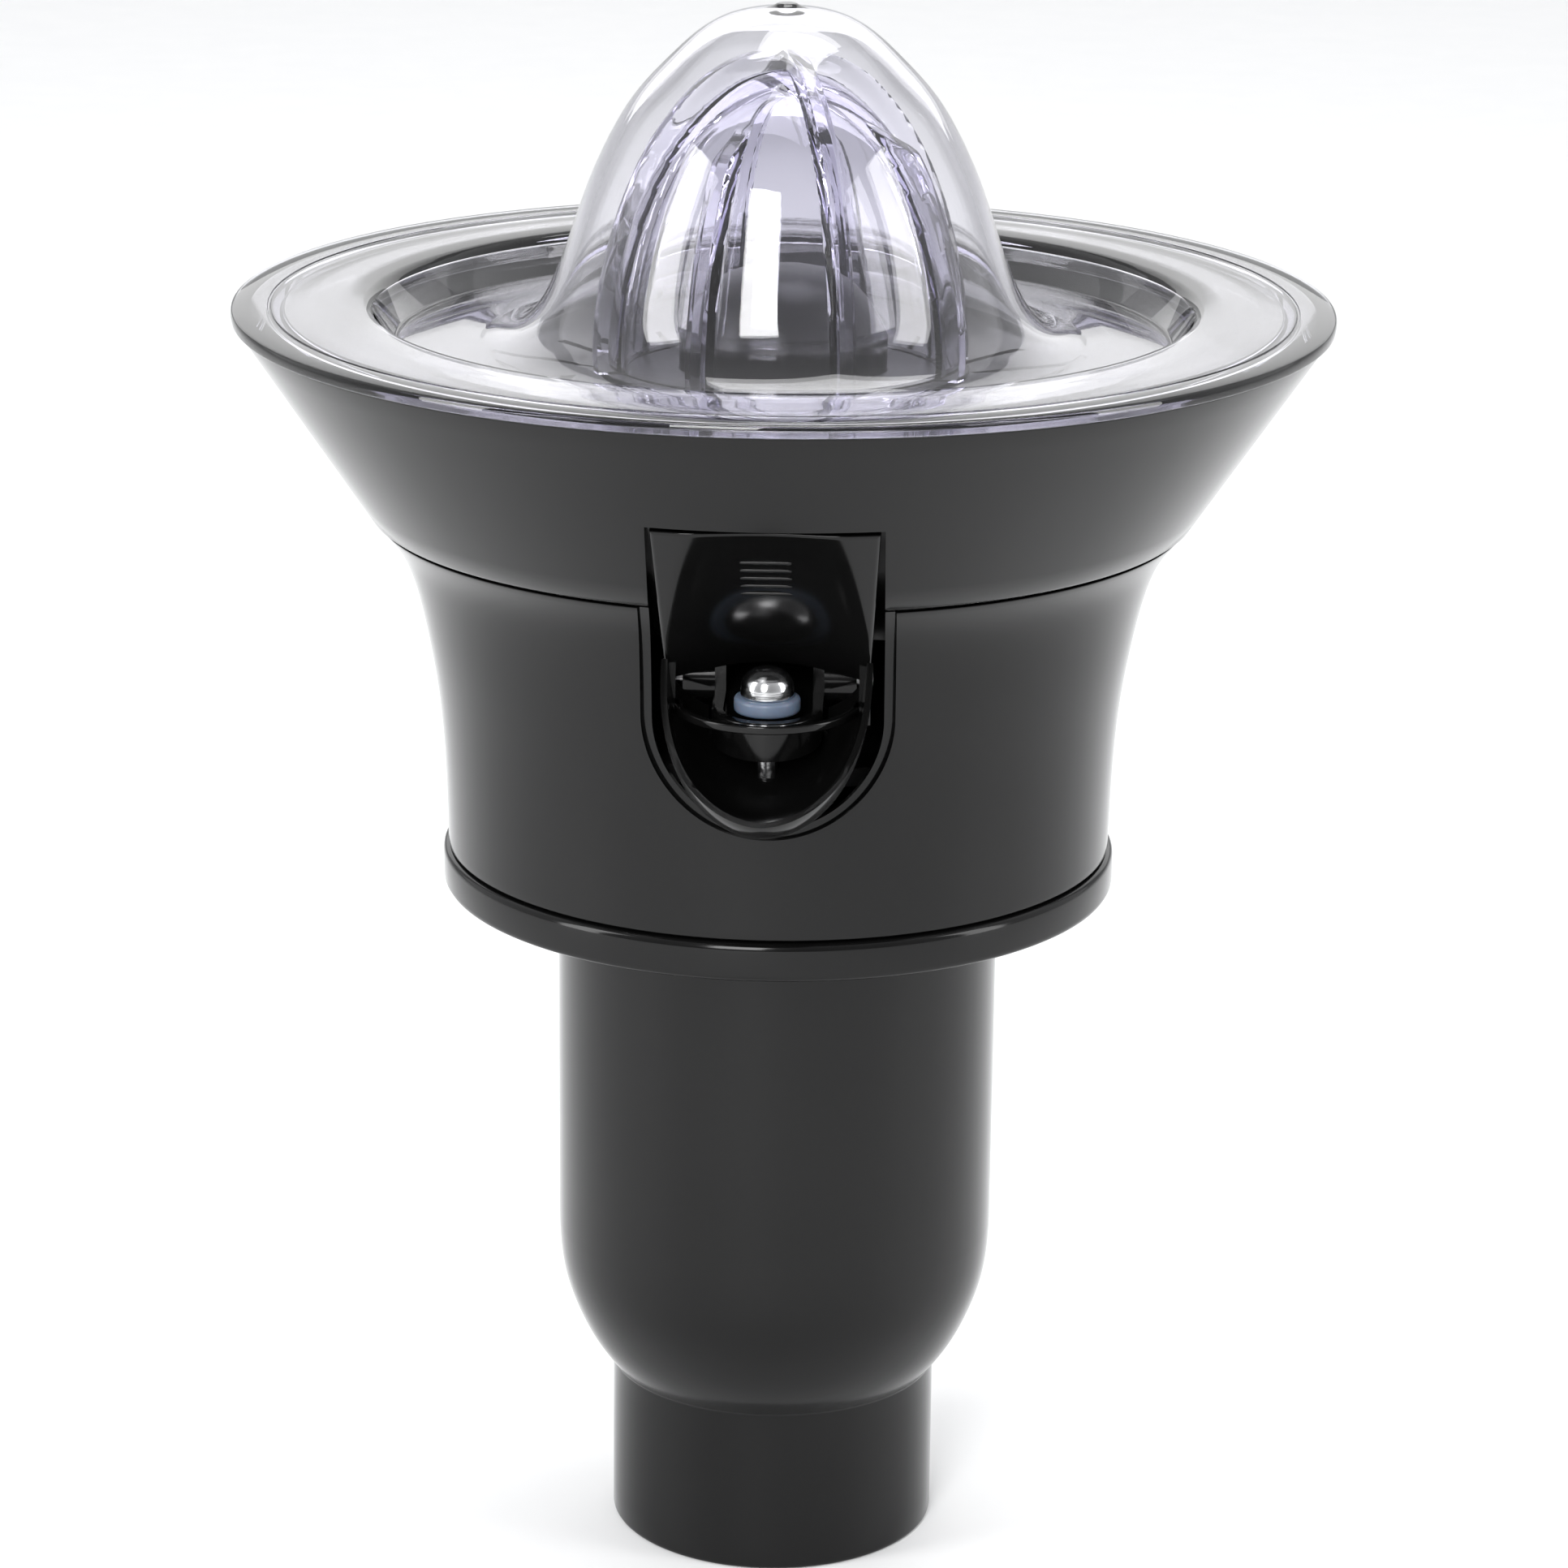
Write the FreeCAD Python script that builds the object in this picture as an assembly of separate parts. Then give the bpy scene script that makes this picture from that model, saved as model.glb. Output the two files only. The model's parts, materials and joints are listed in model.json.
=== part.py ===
import FreeCAD, Part
import math
import os

# A citrus press attachment: a clear lid and reamer cone over a black funnel bowl, on a waisted
# housing whose stem and spigot plug into a motor base. Millimetres, +Z up, spout towards -Y.
# The origin is on the axis, at the lower edge of the spigot.

V = FreeCAD.Vector
X_AXIS, Z_AXIS = V(1, 0, 0), V(0, 0, 1)
ORIGIN = V(0, 0, 0)

# ---- driving sizes -------------------------------------------------------------------------
WALL = 2.6                 # black shells
CLEAR_WALL = 2.0           # lid
TOUCH = 0.3                # gap between pieces that only pass each other
RUN = 0.05                 # radial running clearance of a shaft in its bush

SPIGOT_R = 28.4
SPIGOT_H = 30.0
STEM_R = 38.0
STEM_ROUND_TOP = 56.0      # where the rounded shoulder becomes the straight stem
NECK_R, NECK_H = 37.4, 0.6 # relief under the base ring, and the stem's radius above it
FLANGE_Z = 119.2           # underside of the base ring
RING_R = 57.7
RING_H = 6.5
RING_LIP_H = 3.8
HOUSING_WAIST_R = 56.8
HOUSING_TOP_R = 68.6
SEAM_Z = 184.3             # underside of the bowl's ledge
SEAM_R = 69.2
RIM_Z = 217.8              # top of the bowl's rim
RIM_R = 91.4
LID_R = 92.1
LID_RIM_H = 2.1
WELL_Z = 213.5             # sunk floor of the lid round its dome
WELL_R = 65.0
WELL_EDGE_R = 70.2
DOME_TOP_Z = 269.2
NUB_R, NUB_H = 2.0, 0.4

FLOOR_Z = 178.0            # bowl floor, upper face
SKIRT_R = 59.9
TOWER_R = 13.6
TOWER_BORE_R = 11.4
TOWER_TOP_Z = 212.0

NOTCH_HALF = 18.6          # spout notch and housing cut-out
NOTCH_TOP_Z = 200.2
CUTOUT_BOTTOM_Z = 144.9
BORDER_W = 1.8
BORDER_DEEP = 0.8

PIVOT_Y, PIVOT_Z = -46.0, 168.0
CLOSE_DEG = 9.4            # tilt that lowers the stopper on its seat
STOPPER_Y = -60.0
SEAL_Z, SEAL_H, SEAL_R = 166.0, 2.5, 5.3
SEAT_HOLE_R = 3.6
TRAY_HALF = 8.8
TRAY_WALL = 1.8
TRAY_RIM_Z = 166.3
TRAY_FLOOR_T = 2.0
PIN_R = 1.5
LEVER_T = 1.8
SCOOP_LOW, SCOOP_HIGH = (53.0, 172.1), (77.0, 197.5)
SCOOP_R = 21.5
GRIP_LINES, GRIP_LOW_Z, GRIP_PITCH, GRIP_R, GRIP_W = 5, 187.2, 1.6, 0.35, 8.0
TONGUE_START = (61.0, 174.5)   # outward distance and height of the lip's upper end
TONGUE_TIP = (86.0, 154.7)
TONGUE_HALF = 16.8
TONGUE_WALL = 1.4

CONE_BASE_Z = 207.0
CONE_TOP_Z = 262.2
CONE_R = 33.0
FIN_H = 4.0
FIN_T = 3.4
CONE_WALL = 2.2
CONE_PHASE = -69.5
LONG_FINS = 4
HUB_R = 17.5

MODULE = 1.25
SUN_T, PLANET_T, RING_T = 12, 18, 48
PLANETS = 3
GEAR_Z, GEAR_H = 57.0, 10.0
BACKLASH = 0.12
STEM_BORE_R = 35.3
SHAFT_R = 5.0
INPUT_R = 4.0
PLANET_PIN_R = 2.5
SHAFT_TOP_Z = 219.0
SHAFT_HEX_AF = 8.0

RING_BORE_R = 44.0
FLANGE_R = 53.0              # stem flange, held between the ring and the housing
SCREW_R = 1.75
SCREW_HEAD_R = 3.2
FLANGE_SCREW_PCR = 48.0
COLUMN_SCREW_PCR = 44.0


# ---- helpers -------------------------------------------------------------------------------
def outline(steps, place):
    """Closed wire: a pair is a straight step, a list is a curve through its pairs."""
    here = steps[0]
    edges = []
    for step in steps[1:] + [steps[0]]:
        if isinstance(step, list):
            points = [place(*here)] + [place(*p) for p in step]
            if len(step) == 2:
                edges.append(Part.Arc(*points).toShape())
            else:
                curve = Part.BSplineCurve()
                curve.interpolate(points)
                edges.append(curve.toShape())
            here = step[-1]
        elif step != here:
            edges.append(Part.LineSegment(place(*here), place(*step)).toShape())
            here = step
    return Part.Wire(edges)


def turned(*steps):
    """Solid of revolution about Z from an outline in (radius, height)."""
    wire = outline(list(steps), lambda r, z: V(r, 0, z))
    return Part.Face(wire).revolve(ORIGIN, Z_AXIS, 360)


def prism(half_width, *steps):
    """Extrusion across X of an outline in (distance towards the spout, height)."""
    wire = outline(list(steps), lambda out, z: V(-half_width, -out, z))
    return Part.Face(wire).extrude(V(2 * half_width, 0, 0))


def rod(radius, z_low, z_high, x=0.0, y=0.0):
    return Part.makeCylinder(radius, z_high - z_low, V(x, y, z_low))


def tube(outer, inner, z_low, z_high, x=0.0, y=0.0):
    return rod(outer, z_low, z_high, x, y).cut(rod(inner, z_low, z_high, x, y))


def cross_rod(radius, x_low, x_high, y, z):
    return Part.makeCylinder(radius, x_high - x_low, V(x_low, y, z), X_AXIS)


def hexagon(across_flats, z_low, z_high):
    corner = across_flats / math.sqrt(3)
    points = [V(corner * math.cos(math.radians(60 * i)), corner * math.sin(math.radians(60 * i)), z_low)
              for i in range(7)]
    return Part.Face(Part.makePolygon(points)).extrude(V(0, 0, z_high - z_low))


def around(count, radius, start_deg=0.0):
    """Places of a pattern: (x, y, angle)."""
    angles = [start_deg + 360.0 * i / count for i in range(count)]
    return [(radius * math.cos(math.radians(a)), radius * math.sin(math.radians(a)), a) for a in angles]


def fused(shapes):
    result = shapes[0]
    for shape in shapes[1:]:
        result = result.fuse(shape)
    return result.removeSplitter()


def save(name, shape):
    solids = shape.Solids
    out = solids[0] if len(solids) == 1 else Part.makeCompound(solids)
    out.exportStep("parts/" + name + ".step")
    print(name, len(solids), "solid(s)", "valid" if shape.isValid() else "NOT VALID", round(shape.Volume))


# ---- lid -----------------------------------------------------------------------------------
DOME = [(11.0, 267.0), (19.6, 260.2), (25.2, 254.0), (29.4, 247.0), (32.5, 240.2), (35.2, 232.6),
        (37.6, 225.8), (40.6, 219.6), (45.0, 215.2)]
DOME_FOOT_R = 51.0


def offset_inward(points, gap):
    """Moves each inner point of a curve by gap, square to the curve, towards the axis."""
    moved = []
    for before, here, after in zip(points, points[1:], points[2:]):
        dr, dz = after[0] - before[0], after[1] - before[1]
        length = math.hypot(dr, dz)
        moved.append((here[0] + gap * dz / length, here[1] - gap * dr / length))
    return moved


def make_lid():
    top, foot = (0.0, DOME_TOP_Z), (DOME_FOOT_R, WELL_Z)
    curve = [top] + DOME + [foot]
    inner = offset_inward(curve, CLEAR_WALL)
    low = RIM_Z + LID_RIM_H
    rib_out = RIM_R - 3.1 - 2.9
    shell = turned(
        top, DOME + [foot], (WELL_R, WELL_Z), (WELL_EDGE_R - 1.8, low - 1.4),
        [(WELL_EDGE_R - 1.2, low - 0.5), (WELL_EDGE_R, low)],
        (LID_R - 0.6, low), [(LID_R - 0.15, low - 0.2), (LID_R, low - 0.8)], (LID_R - 0.1, RIM_Z),
        (rib_out, RIM_Z), (rib_out, RIM_Z - 4.0), (rib_out - CLEAR_WALL, RIM_Z - 4.0),
        (rib_out - CLEAR_WALL, RIM_Z), (WELL_EDGE_R - 0.4, RIM_Z), (WELL_R - 0.2, WELL_Z - CLEAR_WALL),
        (DOME_FOOT_R, WELL_Z - CLEAR_WALL), list(reversed(inner)) + [(0.0, DOME_TOP_Z - CLEAR_WALL)])
    groove = tube(rib_out + 0.6, rib_out, low - 0.3, low)
    return shell.cut(groove).fuse(rod(NUB_R, DOME_TOP_Z - 0.6, DOME_TOP_Z + NUB_H)).removeSplitter()


# ---- reamer cone and hub -------------------------------------------------------------------
def cone_radius(z):
    """Radius over the fin tips: an ogive from the base to the apex."""
    share = max(0.0, (z - CONE_BASE_Z) / (CONE_TOP_Z - CONE_BASE_Z))
    return CONE_R * (1.0 - share ** 2) ** 0.48


def cone_curve(inset, top_z, count=7):
    """Points of the ogive, moved in by inset, from the axis down to the base."""
    points = []
    for i in range(1, count + 1):
        z = CONE_BASE_Z + (top_z - CONE_BASE_Z) * (1.0 - (i / count) ** 1.7)
        scale = (z - CONE_BASE_Z) / (top_z - CONE_BASE_Z)
        reach = CONE_BASE_Z + scale * (CONE_TOP_Z - CONE_BASE_Z)
        points.append(((CONE_R - inset) * cone_radius(reach) / CONE_R, z))
    return points


def ogive(inset, top_z):
    return turned((0.0, top_z), cone_curve(inset, top_z), (0.0, CONE_BASE_Z))


def make_cone():
    fin_limit = ogive(0.0, CONE_TOP_Z)
    body = ogive(FIN_H, CONE_TOP_Z - 4.2)
    hollow = ogive(FIN_H + CONE_WALL, CONE_TOP_Z - 8.0)
    fins = []
    for step in range(2 * LONG_FINS):
        height = CONE_TOP_Z - CONE_BASE_Z if step % 2 == 0 else 44.0
        fin = Part.makeBox(CONE_R + 2, FIN_T, height, V(0, -FIN_T / 2, CONE_BASE_Z))
        fin.rotate(ORIGIN, Z_AXIS, CONE_PHASE + 180.0 / LONG_FINS * step)
        if step % 2:
            tilt = rod(CONE_R - 4.5, CONE_BASE_Z + 26, CONE_BASE_Z + 60)
            fin = fin.cut(tilt.cut(ogive(FIN_H - 0.2, CONE_TOP_Z - 4.0)).common(rod(17.0, 230, 270)))
        fins.append(fin)
    cone = body.fuse(fused(fins).common(fin_limit)).cut(hollow)
    return cone.removeSplitter()


def make_hub():
    hub = turned((0.0, 226.0), [(11.0, 223.4), (HUB_R, 214.0)], (HUB_R, CONE_BASE_Z), (31.6, CONE_BASE_Z),
                 (31.6, CONE_BASE_Z - 1.8), (HUB_R, CONE_BASE_Z - 1.8), (HUB_R, 201.6),
                 (TOWER_R + 1.0, 201.6), (TOWER_R + 1.0, TOWER_TOP_Z + 0.8), (0.0, TOWER_TOP_Z + 0.8))
    return hub.cut(hexagon(SHAFT_HEX_AF + 0.2, TOWER_TOP_Z, SHAFT_TOP_Z + 0.5))


# ---- strainer ------------------------------------------------------------------------------
STRAINER_RIM_Z = 206.0
STRAINER_T = 1.8
STRAINER_HOLE_R = 18.6


def bowl_wall_r(z):
    """Outer radius of the funnel at a height."""
    return SEAM_R + (z - SEAM_Z) * (RIM_R - SEAM_R) / (RIM_Z - SEAM_Z)


def make_strainer():
    rim = bowl_wall_r(STRAINER_RIM_Z) - 3.1 - TOUCH
    slope = bowl_wall_r(1.0) - bowl_wall_r(0.0)
    dish = turned((STRAINER_HOLE_R, 200.5), (42.0, 200.5), (rim - 2.0, STRAINER_RIM_Z),
                  (rim, STRAINER_RIM_Z), (rim - STRAINER_T * slope, STRAINER_RIM_Z - STRAINER_T),
                  (rim - 3.0, STRAINER_RIM_Z - STRAINER_T), (42.0, 200.5 - STRAINER_T),
                  (STRAINER_HOLE_R, 200.5 - STRAINER_T))
    collar = tube(STRAINER_HOLE_R + 1.6, STRAINER_HOLE_R, 199.5, 203.6)
    slots = []
    for x, y, angle in around(24, 0.0):
        slot = Part.makeBox(22.0, 1.8, 20.0, V(38.0, -0.9, 190.0))
        slot.rotate(ORIGIN, Z_AXIS, angle)
        slots.append(slot)
    return dish.fuse(collar).cut(Part.makeCompound(slots)).removeSplitter()


# ---- bowl ----------------------------------------------------------------------------------
def tray_floor(out):
    """Height of the outlet's sloping floor, in line with the stopper when it is closed."""
    tilt = math.radians(CLOSE_DEG)
    arm, drop = -STOPPER_Y + PIVOT_Y, SEAL_Z - PIVOT_Z
    seat_out = -PIVOT_Y + arm * math.cos(tilt) + drop * math.sin(tilt)
    seat_z = PIVOT_Z - arm * math.sin(tilt) + drop * math.cos(tilt)
    return seat_z - 0.1 - (out - seat_out) * math.tan(tilt)


def bowl_envelope():
    return turned((0.0, RIM_Z), (RIM_R, RIM_Z), (SEAM_R + 0.5, SEAM_Z + 0.75), (SEAM_R - 0.6, SEAM_Z),
                  (SKIRT_R, SEAM_Z), (SKIRT_R, FLOOR_Z - WALL), (0.0, FLOOR_Z - WALL))


def make_bowl():
    inner_rim = RIM_R - 3.1
    envelope = bowl_envelope()
    hollow = turned((0.0, FLOOR_Z), (SKIRT_R - 2.4, FLOOR_Z), (SKIRT_R - 2.4, SEAM_Z + 1.0),
                    (bowl_wall_r(188.0) - 3.1, 188.0), (inner_rim, RIM_Z), (inner_rim, RIM_Z + 5),
                    (0.0, RIM_Z + 5))
    pocket = prism(NOTCH_HALF + 2.4, (48.1, FLOOR_Z - WALL), (48.1, FLOOR_Z), (72.2, NOTCH_TOP_Z + 2.4),
                   (95.0, NOTCH_TOP_Z + 2.4), (95.0, FLOOR_Z - WALL))
    duct_back, duct_front, tray_y = 33.0, 50.0, -STOPPER_Y
    duct = prism(TRAY_HALF, (duct_back, tray_floor(duct_back) - TRAY_FLOOR_T), (duct_back, FLOOR_Z - 1),
                 (duct_front, FLOOR_Z - 1), (duct_front, tray_floor(duct_front) - TRAY_FLOOR_T))
    tray_shape = rod(TRAY_HALF, 150.0, TRAY_RIM_Z, 0, -tray_y).fuse(
        Part.makeBox(2 * TRAY_HALF, tray_y - duct_front + 1, 40, V(-TRAY_HALF, -tray_y, TRAY_RIM_Z - 40)))
    under = prism(40.0, (20.0, tray_floor(20.0) - TRAY_FLOOR_T), (90.0, tray_floor(90.0) - TRAY_FLOOR_T),
                  (90.0, 100.0), (20.0, 100.0))
    tray = tray_shape.cut(under)
    shell = envelope.cut(hollow).fuse(pocket.common(envelope)).fuse(rod(TOWER_R, FLOOR_Z - 1, TOWER_TOP_Z))
    notch = prism(NOTCH_HALF, (75.0, NOTCH_TOP_Z), (50.5, FLOOR_Z - WALL), (50.5, 150.0),
                  (110.0, 150.0), (110.0, NOTCH_TOP_Z))
    shell = shell.cut(notch).fuse(duct).fuse(tray)
    half_in = TRAY_HALF - TRAY_WALL
    channel = prism(half_in, (duct_back + 1.8, tray_floor(duct_back + 1.8)), (duct_back + 1.8, FLOOR_Z + 1),
                    (47.0, FLOOR_Z + 1), (47.0, FLOOR_Z - WALL), (tray_y, FLOOR_Z - WALL),
                    (tray_y, tray_floor(tray_y)))
    above = prism(40.0, (20.0, tray_floor(20.0)), (90.0, tray_floor(90.0)), (90.0, 176.0), (20.0, 176.0))
    basin = rod(half_in, 150.0, 175.0, 0, -tray_y).common(above)
    shell = shell.cut(channel).cut(basin).cut(rod(SEAT_HOLE_R, 150, 175, 0, STOPPER_Y))
    for side in (-1, 1):
        ear = cross_rod(4.0, TRAY_HALF - 1.0, 14.0, PIVOT_Y, PIVOT_Z)
        hole = cross_rod(PIN_R, TRAY_HALF + 0.6, 14.0, PIVOT_Y, PIVOT_Z)
        if side < 0:
            ear = ear.mirror(ORIGIN, X_AXIS)
            hole = hole.mirror(ORIGIN, X_AXIS)
        shell = shell.fuse(ear).cut(hole)
    return shell.cut(rod(TOWER_BORE_R, 150, 230))


def make_bowl_seal():
    ring = tube(SKIRT_R + 3.4, SKIRT_R, SEAM_Z - 1.6, SEAM_Z)
    return ring.cut(prism(NOTCH_HALF + 2.4, (40.0, 180.0), (80.0, 180.0), (80.0, 190.0), (40.0, 190.0)))


# ---- spout lever ---------------------------------------------------------------------------
def cone_solid(inset):
    """The funnel's outer cone, carried on down past the seam, moved in by inset."""
    low, high = 150.0, 215.0
    return turned((0.0, low), (bowl_wall_r(low) - inset, low), (bowl_wall_r(high) - inset, high), (0.0, high))


def tongue_half(radius_in):
    """Half a nose cone about the lip's slope: outer when radius_in is 0."""
    (y0, z0), (y1, z1) = TONGUE_START, TONGUE_TIP
    length = math.hypot(y1 - y0, z1 - z0) - radius_in
    half = TONGUE_HALF - radius_in
    along = V(0, -(y1 - y0), z1 - z0)
    along.normalize()
    down = V(0, 0, -1) - along * V(0, 0, -1).dot(along)
    down.normalize()
    start = V(0, -y0, z0)

    def place(s, d):
        return start + along * s + down * d
    curve = [(length * s, half * (1.0 - s ** 2.6) ** 0.55) for s in (0.3, 0.5, 0.68, 0.82, 0.92, 0.98)]
    steps = [(0.0, 0.0), (0.0, half), curve + [(length, 0.0)]]
    face = Part.Face(outline(steps, place))
    face.rotate(start, along, -90)
    return face.revolve(start, along, 180)


def scoop_line(z):
    """Outward distance of the scoop's deepest line at a height."""
    (low, low_z), (high, high_z) = SCOOP_LOW, SCOOP_HIGH
    return low + (z - low_z) * (high - low) / (high_z - low_z)


def scoop_cylinder(radius):
    """Tilted cylinder that hollows the panel above the stopper."""
    low, high = V(0, -SCOOP_LOW[0], SCOOP_LOW[1]), V(0, -SCOOP_HIGH[0], SCOOP_HIGH[1])
    along = (high - low).normalize()
    square = V(0, along.z, -along.y) * -1.0
    if square.y > 0:
        square = square * -1.0
    base = low + square * SCOOP_R - along * 40.0
    return Part.makeCylinder(radius, 110.0, base, along)


def make_lever():
    top_z, corner_z, bottom_z = NOTCH_TOP_Z - 0.7, 174.5, 160.0
    top_half, corner_half = NOTCH_HALF - 0.7, TONGUE_HALF - 0.3
    points = [V(-top_half, 0, top_z), V(top_half, 0, top_z), V(corner_half, 0, corner_z),
              V(corner_half - 0.6, 0, bottom_z), V(-corner_half + 0.6, 0, bottom_z),
              V(-corner_half, 0, corner_z), V(-top_half, 0, top_z)]
    plate_block = Part.Face(Part.makePolygon(points)).extrude(V(0, -110, 0))
    hollow = cone_solid(2.2).cut(scoop_cylinder(SCOOP_R + 2.0))
    plate = plate_block.common(cone_solid(0.0)).cut(hollow).cut(scoop_cylinder(SCOOP_R))
    arc_cut = prism(40.0, (40.0, 177.1), (53.0, 172.1), (59.3, 169.7), (100.0, 154.2), (100.0, 100.0),
                    (40.0, 100.0))
    plate = plate.cut(arc_cut)
    behind = prism(40.0, (77.9, NOTCH_TOP_Z + 4), (51.8, 174.6), (51.8, 100.0), (0.0, 100.0),
                   (0.0, NOTCH_TOP_Z + 4))
    plate = plate.cut(behind)
    for i in range(GRIP_LINES):
        z = GRIP_LOW_Z + GRIP_PITCH * i
        plate = plate.fuse(Part.makeCylinder(GRIP_R, GRIP_W, V(-GRIP_W / 2, -scoop_line(z) - 0.05, z), X_AXIS))
    cheek = prism(LEVER_T / 2, (42.2, 164.5), (42.2, 171.0), (45.0, 172.6), (52.0, 173.6), (55.0, 176.5),
                  (60.5, 174.2), (61.5, 168.0), (57.0, 163.0), (50.0, 162.0))
    outer, inner = tongue_half(0.0), tongue_half(TONGUE_WALL)
    under = TRAY_FLOOR_T + 0.8
    tray_room = prism(TRAY_HALF + 0.8, (45.0, tray_floor(45.0) - under), (62.0, tray_floor(62.0) - under),
                      (62.0, 180.0), (45.0, 180.0))
    shell = outer.cut(inner).cut(tray_room)
    collar = tube(15.0, 13.8, 166.2, 167.5, 0, -59.3)
    collar = collar.common(Part.makeBox(40, 30, 10, V(-20, -89.3, 160)))
    collar = collar.fuse(Part.makeBox(2.6, 3.0, 1.3, V(13.4, -62.3, 166.2)))
    collar = collar.fuse(Part.makeBox(2.6, 3.0, 1.3, V(-16.0, -62.3, 166.2)))
    post = rod(4.0, 148.0, 158.2, 0, STOPPER_Y).common(outer)
    lever = plate.fuse(shell).fuse(collar).fuse(post)
    for side in (-1, 1):
        middle = side * (corner_half - 0.1 - LEVER_T / 2)
        lever = lever.fuse(cheek.translated(V(middle, 0, 0)))
    lever = lever.cut(cross_rod(PIN_R + RUN, -30, 30, PIVOT_Y, PIVOT_Z))
    return lever.cut(rod(1.8, 155.0, 170.0, 0, STOPPER_Y)).removeSplitter()


def make_stopper():
    dome_z = SEAL_Z + SEAL_H
    stopper = turned((0.0, 155.0), (1.8, 155.0), (1.8, SEAL_Z), (2.4, SEAL_Z), (2.4, dome_z), (4.3, dome_z),
                     (4.3, dome_z + 0.8), [(3.2, dome_z + 3.5), (0.9, dome_z + 4.8)], (0.0, dome_z + 4.8))
    return stopper.translated(V(0, STOPPER_Y, 0))


def make_stopper_seal():
    return tube(SEAL_R, 2.4, SEAL_Z, SEAL_Z + SEAL_H, 0, STOPPER_Y)


def make_spout_pins():
    pin = cross_rod(PIN_R, TRAY_HALF + 0.6, 16.6, PIVOT_Y, PIVOT_Z)
    return Part.makeCompound([pin, pin.mirror(ORIGIN, X_AXIS)])


# ---- housing, ring and stem ----------------------------------------------------------------
HOUSING_Z = FLANGE_Z + RING_H + 0.3
HOUSING_TOP = SEAM_Z - TOUCH
HOLE_R = NECK_R + 0.4


def housing_skin(inset, z_low, z_high_r):
    """Hourglass outline: the waist arc and the flare up to the seam."""
    low_r, top_r = HOUSING_WAIST_R - inset, HOUSING_TOP_R - inset
    return [(low_r, z_low), [(58.3 - inset, 153.2), (62.3 - inset, 173.1)],
            [(64.9 - inset, 179.2), (top_r, z_high_r)]]


def cut_out(half, bottom_z, reach=110.0):
    """U-shaped prism, round at the bottom and open at the top."""
    centre_z = bottom_z + half
    ring = Part.makeCylinder(half, reach, V(0, 0, centre_z), V(0, -1, 0))
    return ring.fuse(Part.makeBox(2 * half, reach, 100.0, V(-half, -reach, centre_z)))


def make_housing():
    solid = turned((0.0, HOUSING_Z), *housing_skin(0.0, HOUSING_Z, HOUSING_TOP), (0.0, HOUSING_TOP))
    inner = turned((0.0, HOUSING_Z + WALL), *housing_skin(WALL, HOUSING_Z + WALL, HOUSING_TOP),
                   (0.0, HOUSING_TOP))
    shell = solid.cut(inner).cut(rod(HOLE_R, HOUSING_Z, HOUSING_Z + WALL))
    skin_core = turned((0.0, HOUSING_Z - 1), *housing_skin(BORDER_DEEP, HOUSING_Z - 1, HOUSING_TOP + 1),
                       (0.0, HOUSING_TOP + 1))
    border = cut_out(NOTCH_HALF + BORDER_W, CUTOUT_BOTTOM_Z - BORDER_W + 0.3).cut(skin_core)
    shell = shell.cut(border).cut(cut_out(NOTCH_HALF, CUTOUT_BOTTOM_Z))
    for x, y, _ in around(4, FLANGE_SCREW_PCR, 45.0):
        shell = shell.fuse(rod(4.2, HOUSING_Z + 1, HOUSING_Z + 12, x, y))
        shell = shell.cut(rod(SCREW_R, HOUSING_Z - 1, HOUSING_Z + 10, x, y))
    for x, y, _ in around(3, COLUMN_SCREW_PCR, 90.0):
        shell = shell.fuse(tube(4.0, 1.5, HOUSING_Z + WALL, COLUMN_Z, x, y))
    return shell.removeSplitter()


def make_base_ring():
    top, lip = FLANGE_Z + RING_H, FLANGE_Z + RING_LIP_H
    ring = turned(
        (RING_BORE_R, FLANGE_Z), (RING_R - 1.2, FLANGE_Z), [(RING_R - 0.35, FLANGE_Z + 0.35), (RING_R, FLANGE_Z + 1.2)],
        (RING_R, top - 1.2), [(RING_R - 0.35, top - 0.35), (RING_R - 1.2, top)], (FLANGE_R + TOUCH, top),
        (FLANGE_R + TOUCH, lip), (RING_BORE_R, lip))
    for x, y, _ in around(4, FLANGE_SCREW_PCR, 45.0):
        ring = ring.cut(rod(SCREW_R, FLANGE_Z, lip, x, y))
        ring = ring.cut(rod(SCREW_HEAD_R, FLANGE_Z, FLANGE_Z + 2.4, x, y))
    return ring


def make_stem():
    lip, top = FLANGE_Z + RING_LIP_H, FLANGE_Z + RING_H + 0.3
    shoulder = [(37.7, 50.7), (36.8, 45.5), (34.9, 40.0), (31.8, 34.0), (28.9, SPIGOT_H)]
    bore_low = SPIGOT_R - 2.4
    stem = turned(
        (SPIGOT_R - 1.0, 0.0), (bore_low, 0.0), (bore_low, 34.0), (7.2, 34.0), (7.2, 38.0), (27.0, 38.0),
        (32.6, 46.0), (32.6, 52.0), (STEM_BORE_R, 52.0), (STEM_BORE_R, top + WALL), (NECK_R, top + WALL),
        (NECK_R, top), (FLANGE_R, top), (FLANGE_R, lip), (NECK_R, lip), (NECK_R, FLANGE_Z - NECK_H),
        (STEM_R, FLANGE_Z - NECK_H), (STEM_R, STEM_ROUND_TOP), shoulder,
        (SPIGOT_R, SPIGOT_H - 0.6), (SPIGOT_R, 1.0), [(SPIGOT_R - 0.3, 0.3), (SPIGOT_R - 1.0, 0.0)])
    for x, y, _ in around(4, FLANGE_SCREW_PCR, 45.0):
        stem = stem.cut(rod(SCREW_R, lip, top, x, y))
    return stem


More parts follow.
